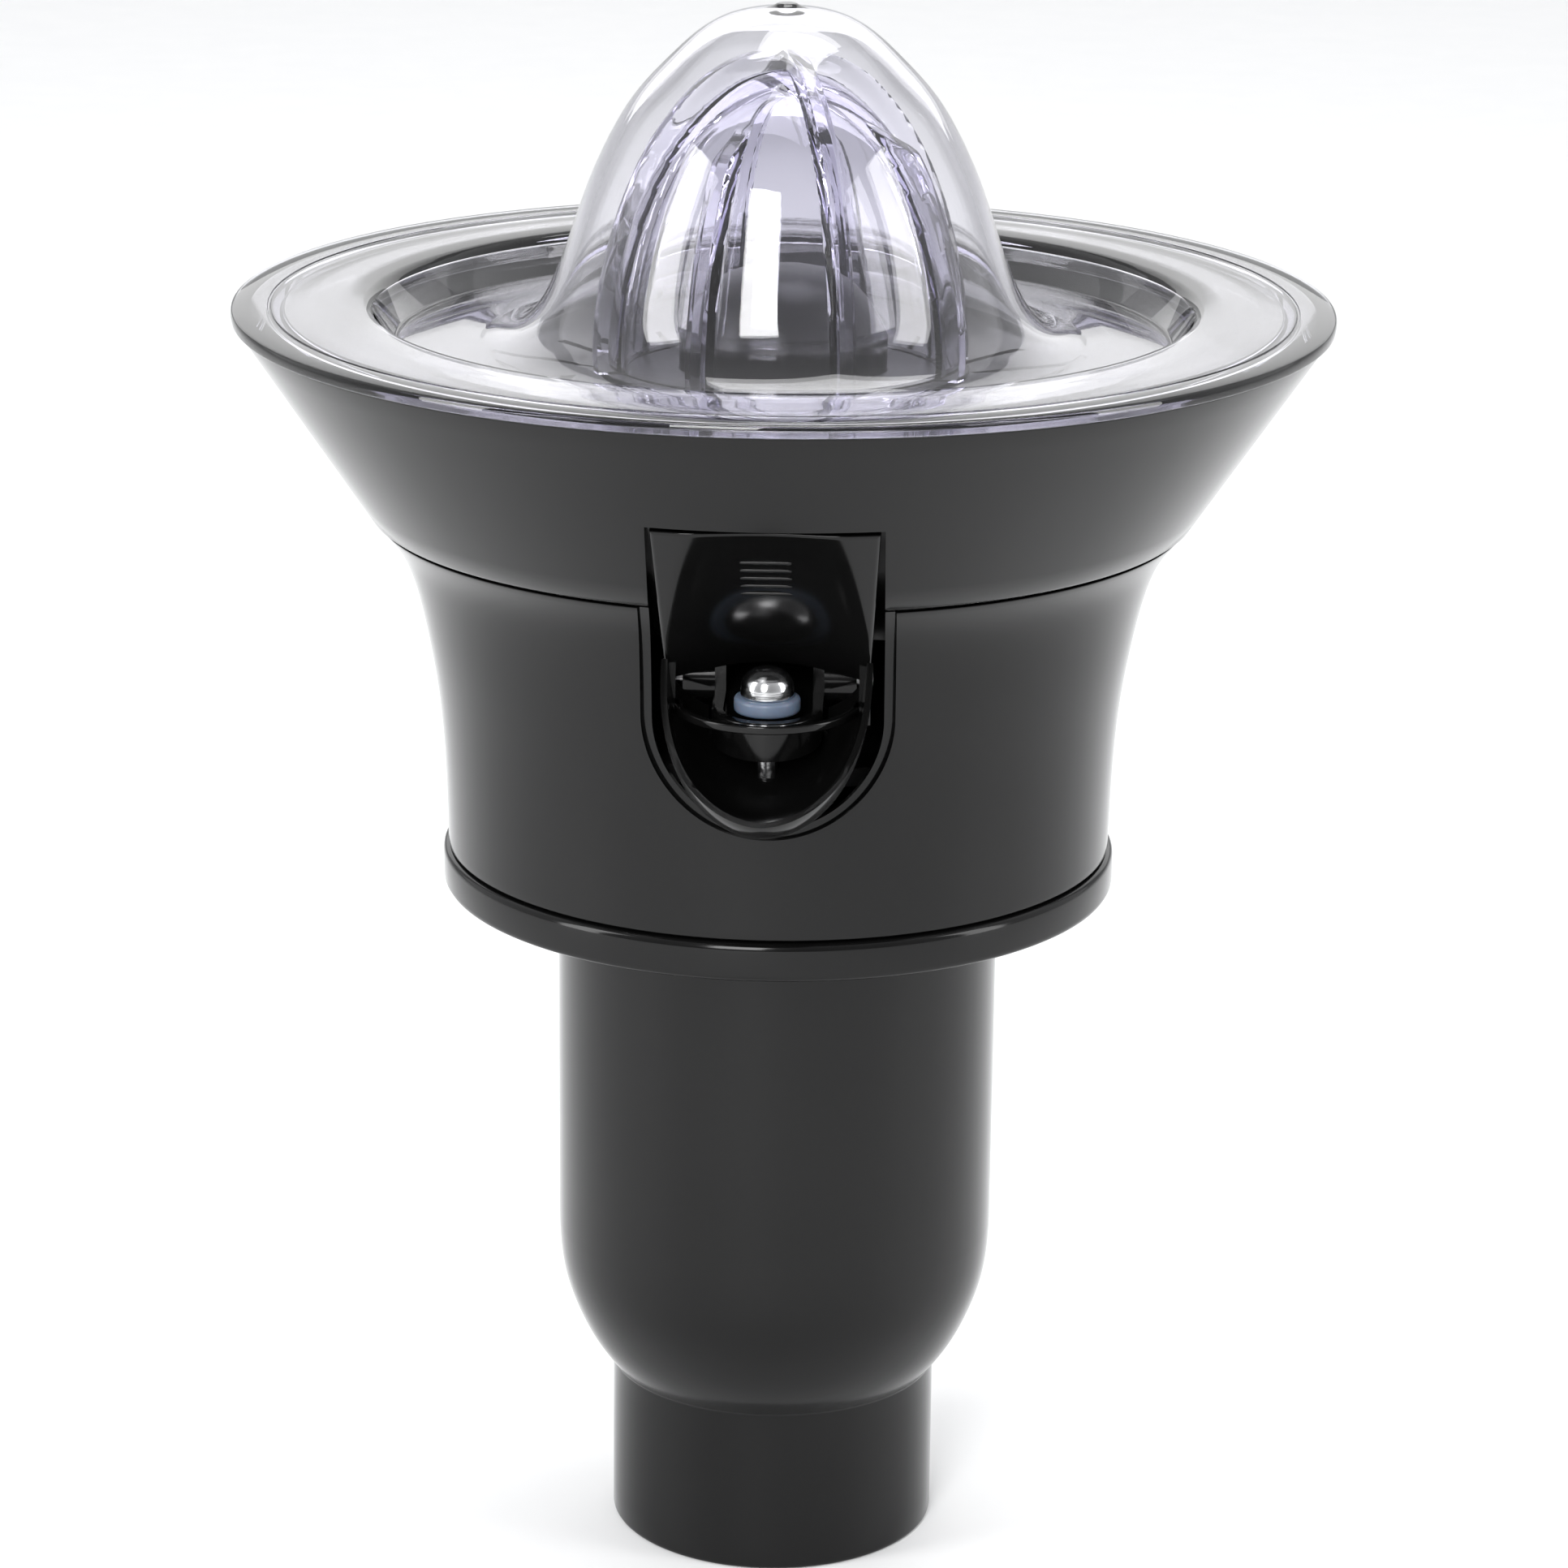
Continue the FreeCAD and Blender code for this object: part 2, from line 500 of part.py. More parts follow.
def make_flange_screws():
    screws = []
    for x, y, _ in around(4, FLANGE_SCREW_PCR, 45.0):
        shank = rod(SCREW_R, FLANGE_Z + 2.0, HOUSING_Z + 9.0, x, y)
        head = rod(SCREW_HEAD_R - 0.2, FLANGE_Z + 0.4, FLANGE_Z + 2.4, x, y)
        slot = Part.makeBox(4.4, 0.8, 0.8, V(x - 2.2, y - 0.4, FLANGE_Z + 0.4))
        screws.append(shank.fuse(head).cut(slot))
    return Part.makeCompound(screws)


# ---- bearing column ------------------------------------------------------------------------
COLUMN_Z = 150.0
COLUMN_R = 10.6
COLUMN_TOP = 207.0
BUSH_R = 8.0


def make_column():
    column = turned((SHAFT_R + 1.0, COLUMN_Z), (50.0, COLUMN_Z), (50.0, COLUMN_Z + 3), (16.0, COLUMN_Z + 3),
                    (COLUMN_R, COLUMN_Z + 12), (COLUMN_R, COLUMN_TOP), (BUSH_R, COLUMN_TOP),
                    (BUSH_R, COLUMN_TOP - 14), (SHAFT_R + 1.0, COLUMN_TOP - 14))
    for x, y, _ in around(3, COLUMN_SCREW_PCR, 90.0):
        column = column.cut(rod(1.5, COLUMN_Z - 1, COLUMN_Z + 4, x, y))
    return column


def make_column_screws():
    screws = []
    for x, y, _ in around(3, COLUMN_SCREW_PCR, 90.0):
        shank = rod(1.5, COLUMN_Z - 14, COLUMN_Z + 3, x, y)
        screws.append(shank.fuse(rod(3.0, COLUMN_Z + 3, COLUMN_Z + 5, x, y)))
    return Part.makeCompound(screws)


# ---- gears ---------------------------------------------------------------------------------
def involute_gear(teeth, z_low, height, internal=False, turn_deg=0.0):
    """Prism of a toothed outline. Its first tooth (or, inside, its first space) points along +X."""
    pitch_r = MODULE * teeth / 2.0
    base_r = pitch_r * math.cos(math.radians(20))
    tip_r = pitch_r + MODULE * (1.2 if internal else 0.95)
    root_r = pitch_r - MODULE * (0.9 if internal else 1.2)
    thin = BACKLASH / 2.0 / pitch_r * (-1 if internal else 1)

    def involute(radius):
        pressure = math.acos(min(1.0, base_r / radius))
        return math.tan(pressure) - pressure
    half = math.pi / (2 * teeth) - thin + involute(pitch_r)
    low = max(base_r, root_r)
    flank = [(low + (tip_r - low) * i / 4.0) for i in range(5)]
    points = []
    for tooth in range(teeth):
        centre = 2 * math.pi * tooth / teeth + math.radians(turn_deg)
        side = [(r, half - involute(r)) for r in flank]
        if root_r < base_r:
            side = [(root_r, side[0][1])] + side
        for r, a in side:
            points.append((r, centre - a))
        for r, a in reversed(side):
            points.append((r, centre + a))
    corners = [V(r * math.cos(a), r * math.sin(a), z_low) for r, a in points]
    return Part.Face(Part.makePolygon(corners + [corners[0]])).extrude(V(0, 0, height))


PLANET_PCR = MODULE * (SUN_T + PLANET_T) / 2.0


def make_planets():
    gears = []
    for x, y, angle in around(PLANETS, PLANET_PCR, 90.0):
        sun_share = (angle * SUN_T / 360.0) % 1.0
        turn = angle + 180.0 - (0.5 - sun_share) * 360.0 / PLANET_T
        gear = involute_gear(PLANET_T, GEAR_Z, GEAR_H, turn_deg=turn)
        gears.append(gear.cut(rod(PLANET_PIN_R + RUN, GEAR_Z, GEAR_Z + GEAR_H)).translated(V(x, y, 0)))
    return gears


def make_ring_gear():
    angle = 90.0
    sun_share = (angle * SUN_T / 360.0) % 1.0
    planet_turn = angle + 180.0 - (0.5 - sun_share) * 360.0 / PLANET_T
    planet_share = ((angle - planet_turn) * PLANET_T / 360.0) % 1.0
    turn = angle - planet_share * 360.0 / RING_T
    ring = rod(STEM_BORE_R - 0.1, GEAR_Z - 1, GEAR_Z + 17).cut(rod(33.6, GEAR_Z + GEAR_H + 1, GEAR_Z + 18))
    ring = ring.cut(involute_gear(RING_T, GEAR_Z - 2, GEAR_H + 20, internal=True, turn_deg=turn))
    return ring


def make_carrier():
    z = GEAR_Z + GEAR_H + 1.5
    plate = rod(24.0, z, z + 4).cut(rod(SHAFT_R, z, z + 4))
    for x, y, _ in around(PLANETS, PLANET_PCR, 90.0):
        plate = plate.cut(rod(PLANET_PIN_R, z, z + 4, x, y))
    return plate


def make_planet_pins():
    top = GEAR_Z + GEAR_H + 5.5
    return Part.makeCompound([rod(PLANET_PIN_R, GEAR_Z - 0.4, top, x, y)
                              for x, y, _ in around(PLANETS, PLANET_PCR, 90.0)])


def make_output_shaft():
    shaft = rod(SHAFT_R, GEAR_Z + GEAR_H + 1.5, TOWER_TOP_Z)
    return shaft.fuse(hexagon(SHAFT_HEX_AF, TOWER_TOP_Z, SHAFT_TOP_Z))


def make_parts():
    """Every node with its shape."""
    planets = make_planets()
    cover_z = GEAR_Z + 17.0
    yield "lid", make_lid()
    yield "reamer_cone", make_cone()
    yield "cone_hub", make_hub()
    yield "strainer", make_strainer()
    yield "bowl", make_bowl()
    yield "bowl_seal", make_bowl_seal()
    yield "spout_lever", make_lever()
    yield "stopper", make_stopper()
    yield "stopper_seal", make_stopper_seal()
    yield "spout_pins", make_spout_pins()
    yield "housing", make_housing()
    yield "base_ring", make_base_ring()
    yield "stem_housing", make_stem()
    yield "flange_screws", make_flange_screws()
    yield "bearing_column", make_column()
    yield "column_screws", make_column_screws()
    yield "column_bush", tube(BUSH_R, SHAFT_R + RUN, COLUMN_TOP - 14, COLUMN_TOP - 4)
    yield "shaft_seal", tube(BUSH_R, SHAFT_R + 0.1, COLUMN_TOP - 4, COLUMN_TOP)
    yield "output_shaft", make_output_shaft()
    yield "carrier_plate", make_carrier()
    yield "planet_pins", make_planet_pins()
    for number, planet in enumerate(planets, 1):
        yield "planet_gear_%d" % number, planet
    yield "ring_gear", make_ring_gear()
    sun = involute_gear(SUN_T, GEAR_Z, GEAR_H).cut(rod(INPUT_R, GEAR_Z, GEAR_Z + GEAR_H))
    yield "sun_gear", sun
    yield "gearbox_plate", tube(STEM_BORE_R - 0.1, 7.0, 52.0, GEAR_Z - 1)
    yield "plate_bush", tube(7.0, INPUT_R + RUN, 51.0, GEAR_Z - 1)
    yield "gearbox_cover", tube(STEM_BORE_R - 0.1, BUSH_R, cover_z, cover_z + 4)
    yield "cover_bush", tube(BUSH_R, SHAFT_R + RUN, cover_z - 0.8, cover_z + 8)
    pin_hole = cross_rod(1.5, -11, 11, 0, 25.5)
    yield "input_shaft", rod(INPUT_R, 20.0, GEAR_Z + GEAR_H).cut(pin_hole)
    yield "input_bush", tube(7.2, INPUT_R + RUN, 33.0, 39.0)
    yield "input_circlip", tube(6.6, INPUT_R, 39.3, 40.5)
    coupling = rod(11.0, 8.0, 31.0).cut(rod(INPUT_R, 20.0, 31.0)).cut(hexagon(12.0, 8.0, 19.0))
    yield "drive_coupling", coupling.cut(pin_hole)
    yield "coupling_pin", cross_rod(1.5, -10.8, 10.8, 0, 25.5)


def main():
    os.makedirs("parts", exist_ok=True)
    for name, shape in make_parts():
        save(name, shape)


main()
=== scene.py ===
# %% [markdown]
# # A citrus press attachment, dressed on its CAD frame
#
# The object is the upper part of a citrus press: a clear lid with a tall dome, a clear reamer
# cone, a black funnel bowl with a tilting spout, and a waisted black housing whose stem and
# spigot plug into a motor base. The mechanism was made first, as solids with joints. This
# script loads that model as a fixed frame and builds the surfaces that are seen over it.
#
# Everything is in metres in the frame's own coordinates. The axis is Z, and the spout faces -Y.

import json
import math

import bmesh
import bpy
import numpy as np
from mathutils import Matrix, Vector


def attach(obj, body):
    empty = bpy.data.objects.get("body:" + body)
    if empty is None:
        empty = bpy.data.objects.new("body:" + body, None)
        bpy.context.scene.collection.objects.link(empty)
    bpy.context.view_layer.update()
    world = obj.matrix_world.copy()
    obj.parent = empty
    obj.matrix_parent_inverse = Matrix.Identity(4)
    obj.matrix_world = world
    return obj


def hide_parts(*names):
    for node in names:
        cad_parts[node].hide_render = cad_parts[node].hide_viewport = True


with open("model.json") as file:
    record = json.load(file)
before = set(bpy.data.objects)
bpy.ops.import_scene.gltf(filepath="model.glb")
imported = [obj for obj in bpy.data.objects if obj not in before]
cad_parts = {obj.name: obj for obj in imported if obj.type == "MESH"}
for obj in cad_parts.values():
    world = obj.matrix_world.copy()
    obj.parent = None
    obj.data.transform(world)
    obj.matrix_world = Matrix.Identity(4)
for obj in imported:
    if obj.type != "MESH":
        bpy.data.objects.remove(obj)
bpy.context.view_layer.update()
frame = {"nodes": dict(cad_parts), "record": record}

# %% [markdown]
# ## The view first
#
# Every later choice is judged through the camera, so it comes first. It stands about 0.82 m
# from the axis and 0.39 m up, and looks 17.3 degrees down. It is 1.9 degrees round towards +X,
# and it leans by 0.6 degrees.

# %% Camera
CAMERA_DISTANCE, CAMERA_HEIGHT = 0.82183, 0.39131
LOOK_DOWN, ROUND, LEAN = math.radians(17.314), math.radians(1.9), math.radians(0.6)
LENS_MM, SENSOR_MM, SIDE_SHIFT = 114.71, 36.0, 0.0033

camera_data = bpy.data.cameras.new("camera")
camera_data.sensor_width = SENSOR_MM
camera_data.lens = LENS_MM
camera_data.shift_x = SIDE_SHIFT
camera_data.clip_start = 0.05
camera_data.clip_end = 20.0
camera = bpy.data.objects.new("camera", camera_data)
bpy.context.scene.collection.objects.link(camera)
stand_at = (CAMERA_DISTANCE * math.sin(ROUND), -CAMERA_DISTANCE * math.cos(ROUND), CAMERA_HEIGHT)
place = Matrix.Translation(stand_at)
turn = Matrix.Rotation(ROUND, 4, "Z") @ Matrix.Rotation(math.pi / 2 - LOOK_DOWN, 4, "X")
camera.matrix_world = place @ turn @ Matrix.Rotation(LEAN, 4, "Z")
bpy.context.scene.camera = camera
print("camera at", [round(v, 4) for v in camera.matrix_world.translation])

# %% [markdown]
# ## Light
#
# Glossy black plastic shows only what it reflects, so the surroundings do the modelling. A
# white room, dimmer in front, gives the dark front and the paler edges. Tall soft boxes give the
# long highlights, and a wide one behind whitens the flat of the lid, which mirrors it.

# %% Room
WHITE_ROOM = (0.95, 0.955, 0.97, 1.0)
DIM_IN_FRONT, BRIGHT_BEHIND = 0.35, 1.1

world = bpy.data.worlds.new("white_room")
bpy.context.scene.world = world
world.use_nodes = True
sky = world.node_tree
background = sky.nodes["Background"]
background.inputs["Color"].default_value = WHITE_ROOM
heading = sky.nodes.new("ShaderNodeSeparateXYZ")
sky.links.new(sky.nodes.new("ShaderNodeTexCoord").outputs["Generated"], heading.inputs["Vector"])
fade = sky.nodes.new("ShaderNodeMapRange")
for key, value in {"From Min": -1.0, "From Max": 0.4, "To Min": DIM_IN_FRONT, "To Max": BRIGHT_BEHIND}.items():
    fade.inputs[key].default_value = value
sky.links.new(heading.outputs["Y"], fade.inputs["Value"])
sky.links.new(fade.outputs["Result"], background.inputs["Strength"])
bpy.context.scene.view_settings.view_transform = "Standard"
print("room from", DIM_IN_FRONT, "in front to", BRIGHT_BEHIND, "behind")

# %% [markdown]
# The lamps are soft boxes. Each is a rectangle that faces the
# object, and its shape is what a glossy wall shows as a highlight. Two tall ones stand at the
# sides, one in front, one overhead, and a wide one far behind.

# %% Lamps
def soft_box(name, at, towards, width, height, watts):
    """A rectangular lamp at one point that faces another."""
    data = bpy.data.lights.new(name, "AREA")
    data.shape = "RECTANGLE"
    data.size, data.size_y, data.energy = width, height, watts
    lamp = bpy.data.objects.new(name, data)
    bpy.context.scene.collection.objects.link(lamp)
    facing = (Vector(towards) - Vector(at)).to_track_quat("-Z", "Y").to_matrix().to_4x4()
    lamp.matrix_world = Matrix.Translation(at) @ facing
    return lamp


soft_box("left_box", (-1.1, -0.5, 0.55), (0, 0, 0.15), 0.35, 1.1, 9.0)
soft_box("right_box", (1.15, -0.35, 0.5), (0, 0, 0.15), 0.35, 1.1, 7.0)
soft_box("front_box", (-0.3, -1.5, 0.85), (0, 0, 0.22), 0.5, 1.0, 20.0)
soft_box("top_box", (0.1, 0.25, 1.3), (0, 0, 0.2), 0.7, 0.7, 8.0)
soft_box("back_box", (0.0, 2.2, 1.15), (0, 0, 0.2), 3.0, 1.3, 11.0)
print("lamps:", len(bpy.data.lights))

# %% [markdown]
# ## Tools for making shapes
#
# Nearly every part is turned, so the main tool spins a closed outline round the axis. Corners
# of the outline are rounded first, because moulded plastic has no knife edges and a rounded
# edge is what catches the light. Outlines are written in millimetres as (radius, height), and
# a sweeping wall is a smooth curve through a few points of it.

# %% Outlines
MM = 0.001
TURNS = 288


def through(points, step=1.2):
    """Natural cubic curve through points, sampled about every step millimetres."""
    p = np.array(points, float)
    t = np.concatenate([[0.0], np.cumsum(np.linalg.norm(np.diff(p, axis=0), axis=1))])
    n, h = len(p), np.diff(t)
    a, b = np.eye(n), np.zeros((n, 2))
    for i in range(1, n - 1):
        a[i, i - 1:i + 2] = h[i - 1], 2 * (h[i - 1] + h[i]), h[i]
        b[i] = 6 * ((p[i + 1] - p[i]) / h[i] - (p[i] - p[i - 1]) / h[i - 1])
    bend = np.linalg.solve(a, b)
    found = []
    for s in np.linspace(0, t[-1], max(3, int(t[-1] / step))):
        i = min(n - 2, int(np.searchsorted(t, s, "right")) - 1)
        u, w = t[i + 1] - s, s - t[i]
        near = (bend[i] * u ** 3 + bend[i + 1] * w ** 3) / (6 * h[i])
        here = (near + (p[i] / h[i] - bend[i] * h[i] / 6) * u
                + (p[i + 1] / h[i] - bend[i + 1] * h[i] / 6) * w)
        found.append((float(here[0]), float(here[1])))
    return found


def rounded(outline, radius=0.4, arc=4):
    """Rounds corners of a closed outline that turn by over 25 degrees, except on the axis."""
    made, count = [], len(outline)
    for i in range(count):
        before, here, after = (Vector(outline[(i + k) % count]) for k in (-1, 0, 1))
        back, on = before - here, after - here
        if back.length < 1e-6:
            continue
        if on.length < 1e-6 or here.x < 1e-6 or back.angle(on) > math.radians(155):
            made.append(tuple(here))
            continue
        reach = min(radius, 0.4 * back.length, 0.4 * on.length)
        start, end = here + back.normalized() * reach, here + on.normalized() * reach
        for k in range(arc + 1):
            u = k / arc
            made.append(tuple((1 - u) ** 2 * start + 2 * u * (1 - u) * here + u * u * end))
    return made


def divided(outline, longest):
    """Adds points so that no straight is longer than this."""
    made = []
    for here, after in zip(outline, outline[1:] + outline[:1]):
        pieces = max(1, int(math.dist(here, after) / longest))
        made += [(here[0] + (after[0] - here[0]) * k / pieces,
                  here[1] + (after[1] - here[1]) * k / pieces) for k in range(pieces)]
    return made


print("samples on a test curve:", len(through([(0, 0), (10, 5), (20, 0)])))

# %% [markdown]
# A mesh is made from corner points and faces, given in millimetres. Shading is smooth, except
# across edges sharper than 35 degrees.

# %% Meshes
def finish_mesh(mesh):
    mesh.shade_smooth()
    mesh.set_sharp_from_angle(angle=math.radians(35))


def mesh_object(name, points, faces):
    mesh = bpy.data.meshes.new(name)
    mesh.from_pydata([tuple(c * MM for c in p) for p in points], [], faces)
    shape = bmesh.new()
    shape.from_mesh(mesh)
    bmesh.ops.remove_doubles(shape, verts=shape.verts, dist=1e-7)
    bmesh.ops.recalc_face_normals(shape, faces=shape.faces)
    shape.to_mesh(mesh)
    shape.free()
    finish_mesh(mesh)
    made = bpy.data.objects.new(name, mesh)
    bpy.context.scene.collection.objects.link(made)
    return made


def whole_turn(steps):
    """Angles of one turn, without the last, which is the first again."""
    return np.linspace(0, 2 * math.pi, steps + 1)[:-1]


def band(low, high, steps=None):
    """Faces between two rings of points; a ring may be one point over and over."""
    made = []
    for k in range(len(low) if steps is None else steps):
        after = (k + 1) % len(low)
        face = list(dict.fromkeys([low[k], low[after], high[after], high[k]]))
        if len(face) > 2:
            made.append(face)
    return made


# %% [markdown]
# Three ways to get a closed solid: a turned one, a flat outline pushed across, and a round bar.
# The bar is cut from others for bores and slots, and joined on for ears and grip lines.

# %% Turned, pushed and round solids
def lathe(name, outline, radius=0.4, turns=TURNS, x=0.0, y=0.0, longest=4.0):
    """Turned solid from a closed outline in (radius, height)."""
    ring = divided(rounded(outline, radius), longest)
    points, faces, rows = [], [], []
    for r, z in ring:
        if r < 1e-6:
            rows.append([len(points)] * turns)
            points.append((x, y, z))
        else:
            rows.append(list(range(len(points), len(points) + turns)))
            points += [(x + r * math.cos(a), y + r * math.sin(a), z) for a in whole_turn(turns)]
    for low, high in zip(rows, rows[1:] + rows[:1]):
        faces += band(low, high)
    return mesh_object(name, points, faces)


def prism(name, half, outline, middle=0.0):
    """Solid across X from an outline in (distance towards the spout, height)."""
    n = len(outline)
    points = [(middle + side * half, -out, z) for side in (-1, 1) for out, z in outline]
    faces = [list(range(n)), list(range(2 * n - 1, n - 1, -1))]
    faces += [[i, (i + 1) % n, n + (i + 1) % n, n + i] for i in range(n)]
    return mesh_object(name, points, faces)


def bar(name, radius, start, end, sides=96):
    """Round bar between two points."""
    start, end = Vector(start), Vector(end)
    along = (end - start).normalized()
    side = along.orthogonal().normalized()
    other = along.cross(side)
    points = [tuple(at + radius * (math.cos(a) * side + math.sin(a) * other))
              for at in (start, end) for a in whole_turn(sides)]
    faces = [list(range(sides)), list(range(2 * sides - 1, sides - 1, -1))]
    faces += [[i, (i + 1) % sides, sides + (i + 1) % sides, sides + i] for i in range(sides)]
    return mesh_object(name, points, faces)


# %% [markdown]
# Solids are joined and cut exactly, as a mould maker adds and takes away steel. Where many thin
# pieces run into each other, they are only gathered into one mesh, because an exact join of
# faces that nearly touch can lose a piece.

# %% Joining and cutting
def baked(target):
    """The mesh that a piece has with its modifiers done."""
    bpy.context.view_layer.update()
    return bpy.data.meshes.new_from_object(target.evaluated_get(bpy.context.evaluated_depsgraph_get()))


def combine(target, others, how):
    """Adds, cuts or keeps the overlap with other solids, which are used up."""
    for other in others if isinstance(others, list) else [others]:
        step = target.modifiers.new("step", "BOOLEAN")
        step.operation, step.solver, step.object = how, "EXACT", other
        result = baked(target)
        target.modifiers.clear()
        target.data = result
        bpy.data.objects.remove(other)
    finish_mesh(target.data)
    return target


def cut(target, others):
    return combine(target, others, "DIFFERENCE")


def join(target, others):
    return combine(target, others, "UNION")


def overlap(target, other):
    return combine(target, other, "INTERSECT")


def round_edges(target, width):
    """Rounds the sharp edges of a finished solid."""
    step = target.modifiers.new("edges", "BEVEL")
    step.width, step.segments = width * MM, 3
    step.limit_method, step.angle_limit = "ANGLE", math.radians(50)
    step.use_clamp_overlap = True
    result = baked(target)
    target.modifiers.clear()
    target.data = result
    finish_mesh(result)
    return target


def merge(target, others):
    """Moulds pieces into one mesh without cutting where they run into each other."""
    shape = bmesh.new()
    for piece in [target] + others:
        shape.from_mesh(piece.data)
    shape.to_mesh(target.data)
    shape.free()
    for other in others:
        bpy.data.objects.remove(other)
    finish_mesh(target.data)
    return target


def size_mm(obj):
    """Height range and widest radius of a piece, in millimetres."""
    v = np.array([tuple(p.co) for p in obj.data.vertices]) / MM
    return [round(float(x), 1) for x in (v[:, 2].min(), v[:, 2].max(), np.hypot(v[:, 0], v[:, 1]).max())]


# %% [markdown]
# ## Effects that several materials share
#
# Each effect is a node group that is built once and placed in every material that needs it, with
# its own values. Three small helpers make the groups' sockets, noises and sums.

# %% Node helpers
def new_group(name, outputs, **inputs):
    group = bpy.data.node_groups.new(name, "ShaderNodeTree")
    for key, value in inputs.items():
        group.interface.new_socket(key, in_out="INPUT", socket_type="NodeSocketFloat").default_value = value
    for key in outputs:
        group.interface.new_socket(key, in_out="OUTPUT", socket_type="NodeSocketFloat")
    return group, group.nodes.new("NodeGroupInput"), group.nodes.new("NodeGroupOutput")


def noise(tree, scale, detail=4.0, stretch=None):
    """Noise in the piece's own coordinates; stretch squeezes it along an axis."""
    where = tree.nodes.new("ShaderNodeTexCoord").outputs["Object"]
    if stretch:
        mapping = tree.nodes.new("ShaderNodeMapping")
        mapping.inputs["Scale"].default_value = stretch
        tree.links.new(where, mapping.inputs["Vector"])
        where = mapping.outputs["Vector"]
    node = tree.nodes.new("ShaderNodeTexNoise")
    node.inputs["Scale"].default_value = scale
    node.inputs["Detail"].default_value = detail
    tree.links.new(where, node.inputs["Vector"])
    return node.outputs["Fac"]


def math_node(tree, how, a, b, c=None):
    node = tree.nodes.new("ShaderNodeMath")
    node.operation = how
    for socket, value in zip(node.inputs, (a, b, c)):
        if isinstance(value, (int, float)):
            socket.default_value = value
        elif value is not None:
            tree.links.new(value, socket)
    return node.outputs[0]


# %% [markdown]
# The first group is the skin of moulded plastic: a very slow waviness from uneven cooling, with a
# little variation in gloss where hands have been. The second is turned metal, whose noise is
# squeezed along the axis into fine rings. The third mottles the tone of anything.

# %% Node groups
skin, g_in, g_out = new_group("moulded_skin", ["Roughness", "Height"], Gloss=0.1, Spread=0.06, Waves=0.5)
handled = math_node(skin, "MULTIPLY", noise(skin, 55.0, 5.0), g_in.outputs["Spread"])
skin.links.new(math_node(skin, "ADD", handled, g_in.outputs["Gloss"]), g_out.inputs["Roughness"])
slow = math_node(skin, "MULTIPLY", noise(skin, 9.0, 1.0), g_in.outputs["Waves"])
fine = math_node(skin, "MULTIPLY", noise(skin, 900.0, 2.0), 0.012)
skin.links.new(math_node(skin, "ADD", slow, fine), g_out.inputs["Height"])

lathed, g_in, g_out = new_group("turned_metal", ["Roughness", "Height"], Gloss=0.2, Lines=1.0)
rings = noise(lathed, 60.0, 6.0, (1.0, 1.0, 40.0))
lathed.links.new(math_node(lathed, "MULTIPLY", rings, g_in.outputs["Lines"]), g_out.inputs["Height"])
spread = math_node(lathed, "MULTIPLY", rings, 0.12)
lathed.links.new(math_node(lathed, "ADD", spread, g_in.outputs["Gloss"]), g_out.inputs["Roughness"])

shade, g_in, g_out = new_group("uneven_tone", ["Tone"], Scale=40.0, Depth=0.2)
mottle = shade.nodes.new("ShaderNodeTexNoise")
mottle.inputs["Detail"].default_value = 5.0
shade.links.new(shade.nodes.new("ShaderNodeTexCoord").outputs["Object"], mottle.inputs["Vector"])
shade.links.new(g_in.outputs["Scale"], mottle.inputs["Scale"])
shade.links.new(math_node(shade, "MULTIPLY", mottle.outputs["Fac"], g_in.outputs["Depth"]), g_out.inputs["Tone"])
print("groups:", [g.name for g in bpy.data.node_groups])

# %% [markdown]
# ## Materials
#
# Each material mixes two close colours by the uneven tone, so that nothing is one flat colour.
# The gloss and the fine relief come from the shared groups.

# %% Material maker
def make_material(name, dark, light, surface, bump=0.02, depth=1.0, scale=40.0, **plain):
    """surface is (group, {socket: value}); plain values go straight to the shader's sockets."""
    material = bpy.data.materials.new(name)
    material.use_nodes = True
    tree = material.node_tree
    shader = tree.nodes["Principled BSDF"]
    for key, value in plain.items():
        shader.inputs[key.replace("_", " ")].default_value = value
    tone = tree.nodes.new("ShaderNodeGroup")
    tone.node_tree = shade
    tone.inputs["Scale"].default_value, tone.inputs["Depth"].default_value = scale, depth
    mix = tree.nodes.new("ShaderNodeMix")
    mix.data_type = "RGBA"
    tree.links.new(tone.outputs["Tone"], mix.inputs["Factor"])
    mix.inputs["A"].default_value, mix.inputs["B"].default_value = (*dark, 1.0), (*light, 1.0)
    tree.links.new(mix.outputs["Result"], shader.inputs["Base Color"])
    group, values = surface
    finish = tree.nodes.new("ShaderNodeGroup")
    finish.node_tree = group
    for key, value in values.items():
        finish.inputs[key].default_value = value
    tree.links.new(finish.outputs["Roughness"], shader.inputs["Roughness"])
    relief = tree.nodes.new("ShaderNodeBump")
    relief.inputs["Strength"].default_value = bump
    relief.inputs["Distance"].default_value = 0.001
    tree.links.new(finish.outputs["Height"], relief.inputs["Height"])
    tree.links.new(relief.outputs["Normal"], shader.inputs["Normal"])
    return material


# %% [markdown]
# The blacks differ in gloss: the outside is polished like a piano, the hub is satin, and the
# strainer has a dark grey sheen. The seals are soft and dull, the gears pale nylon, the shafts
# turned or polished steel, and the bushes porous bronze that holds its oil.

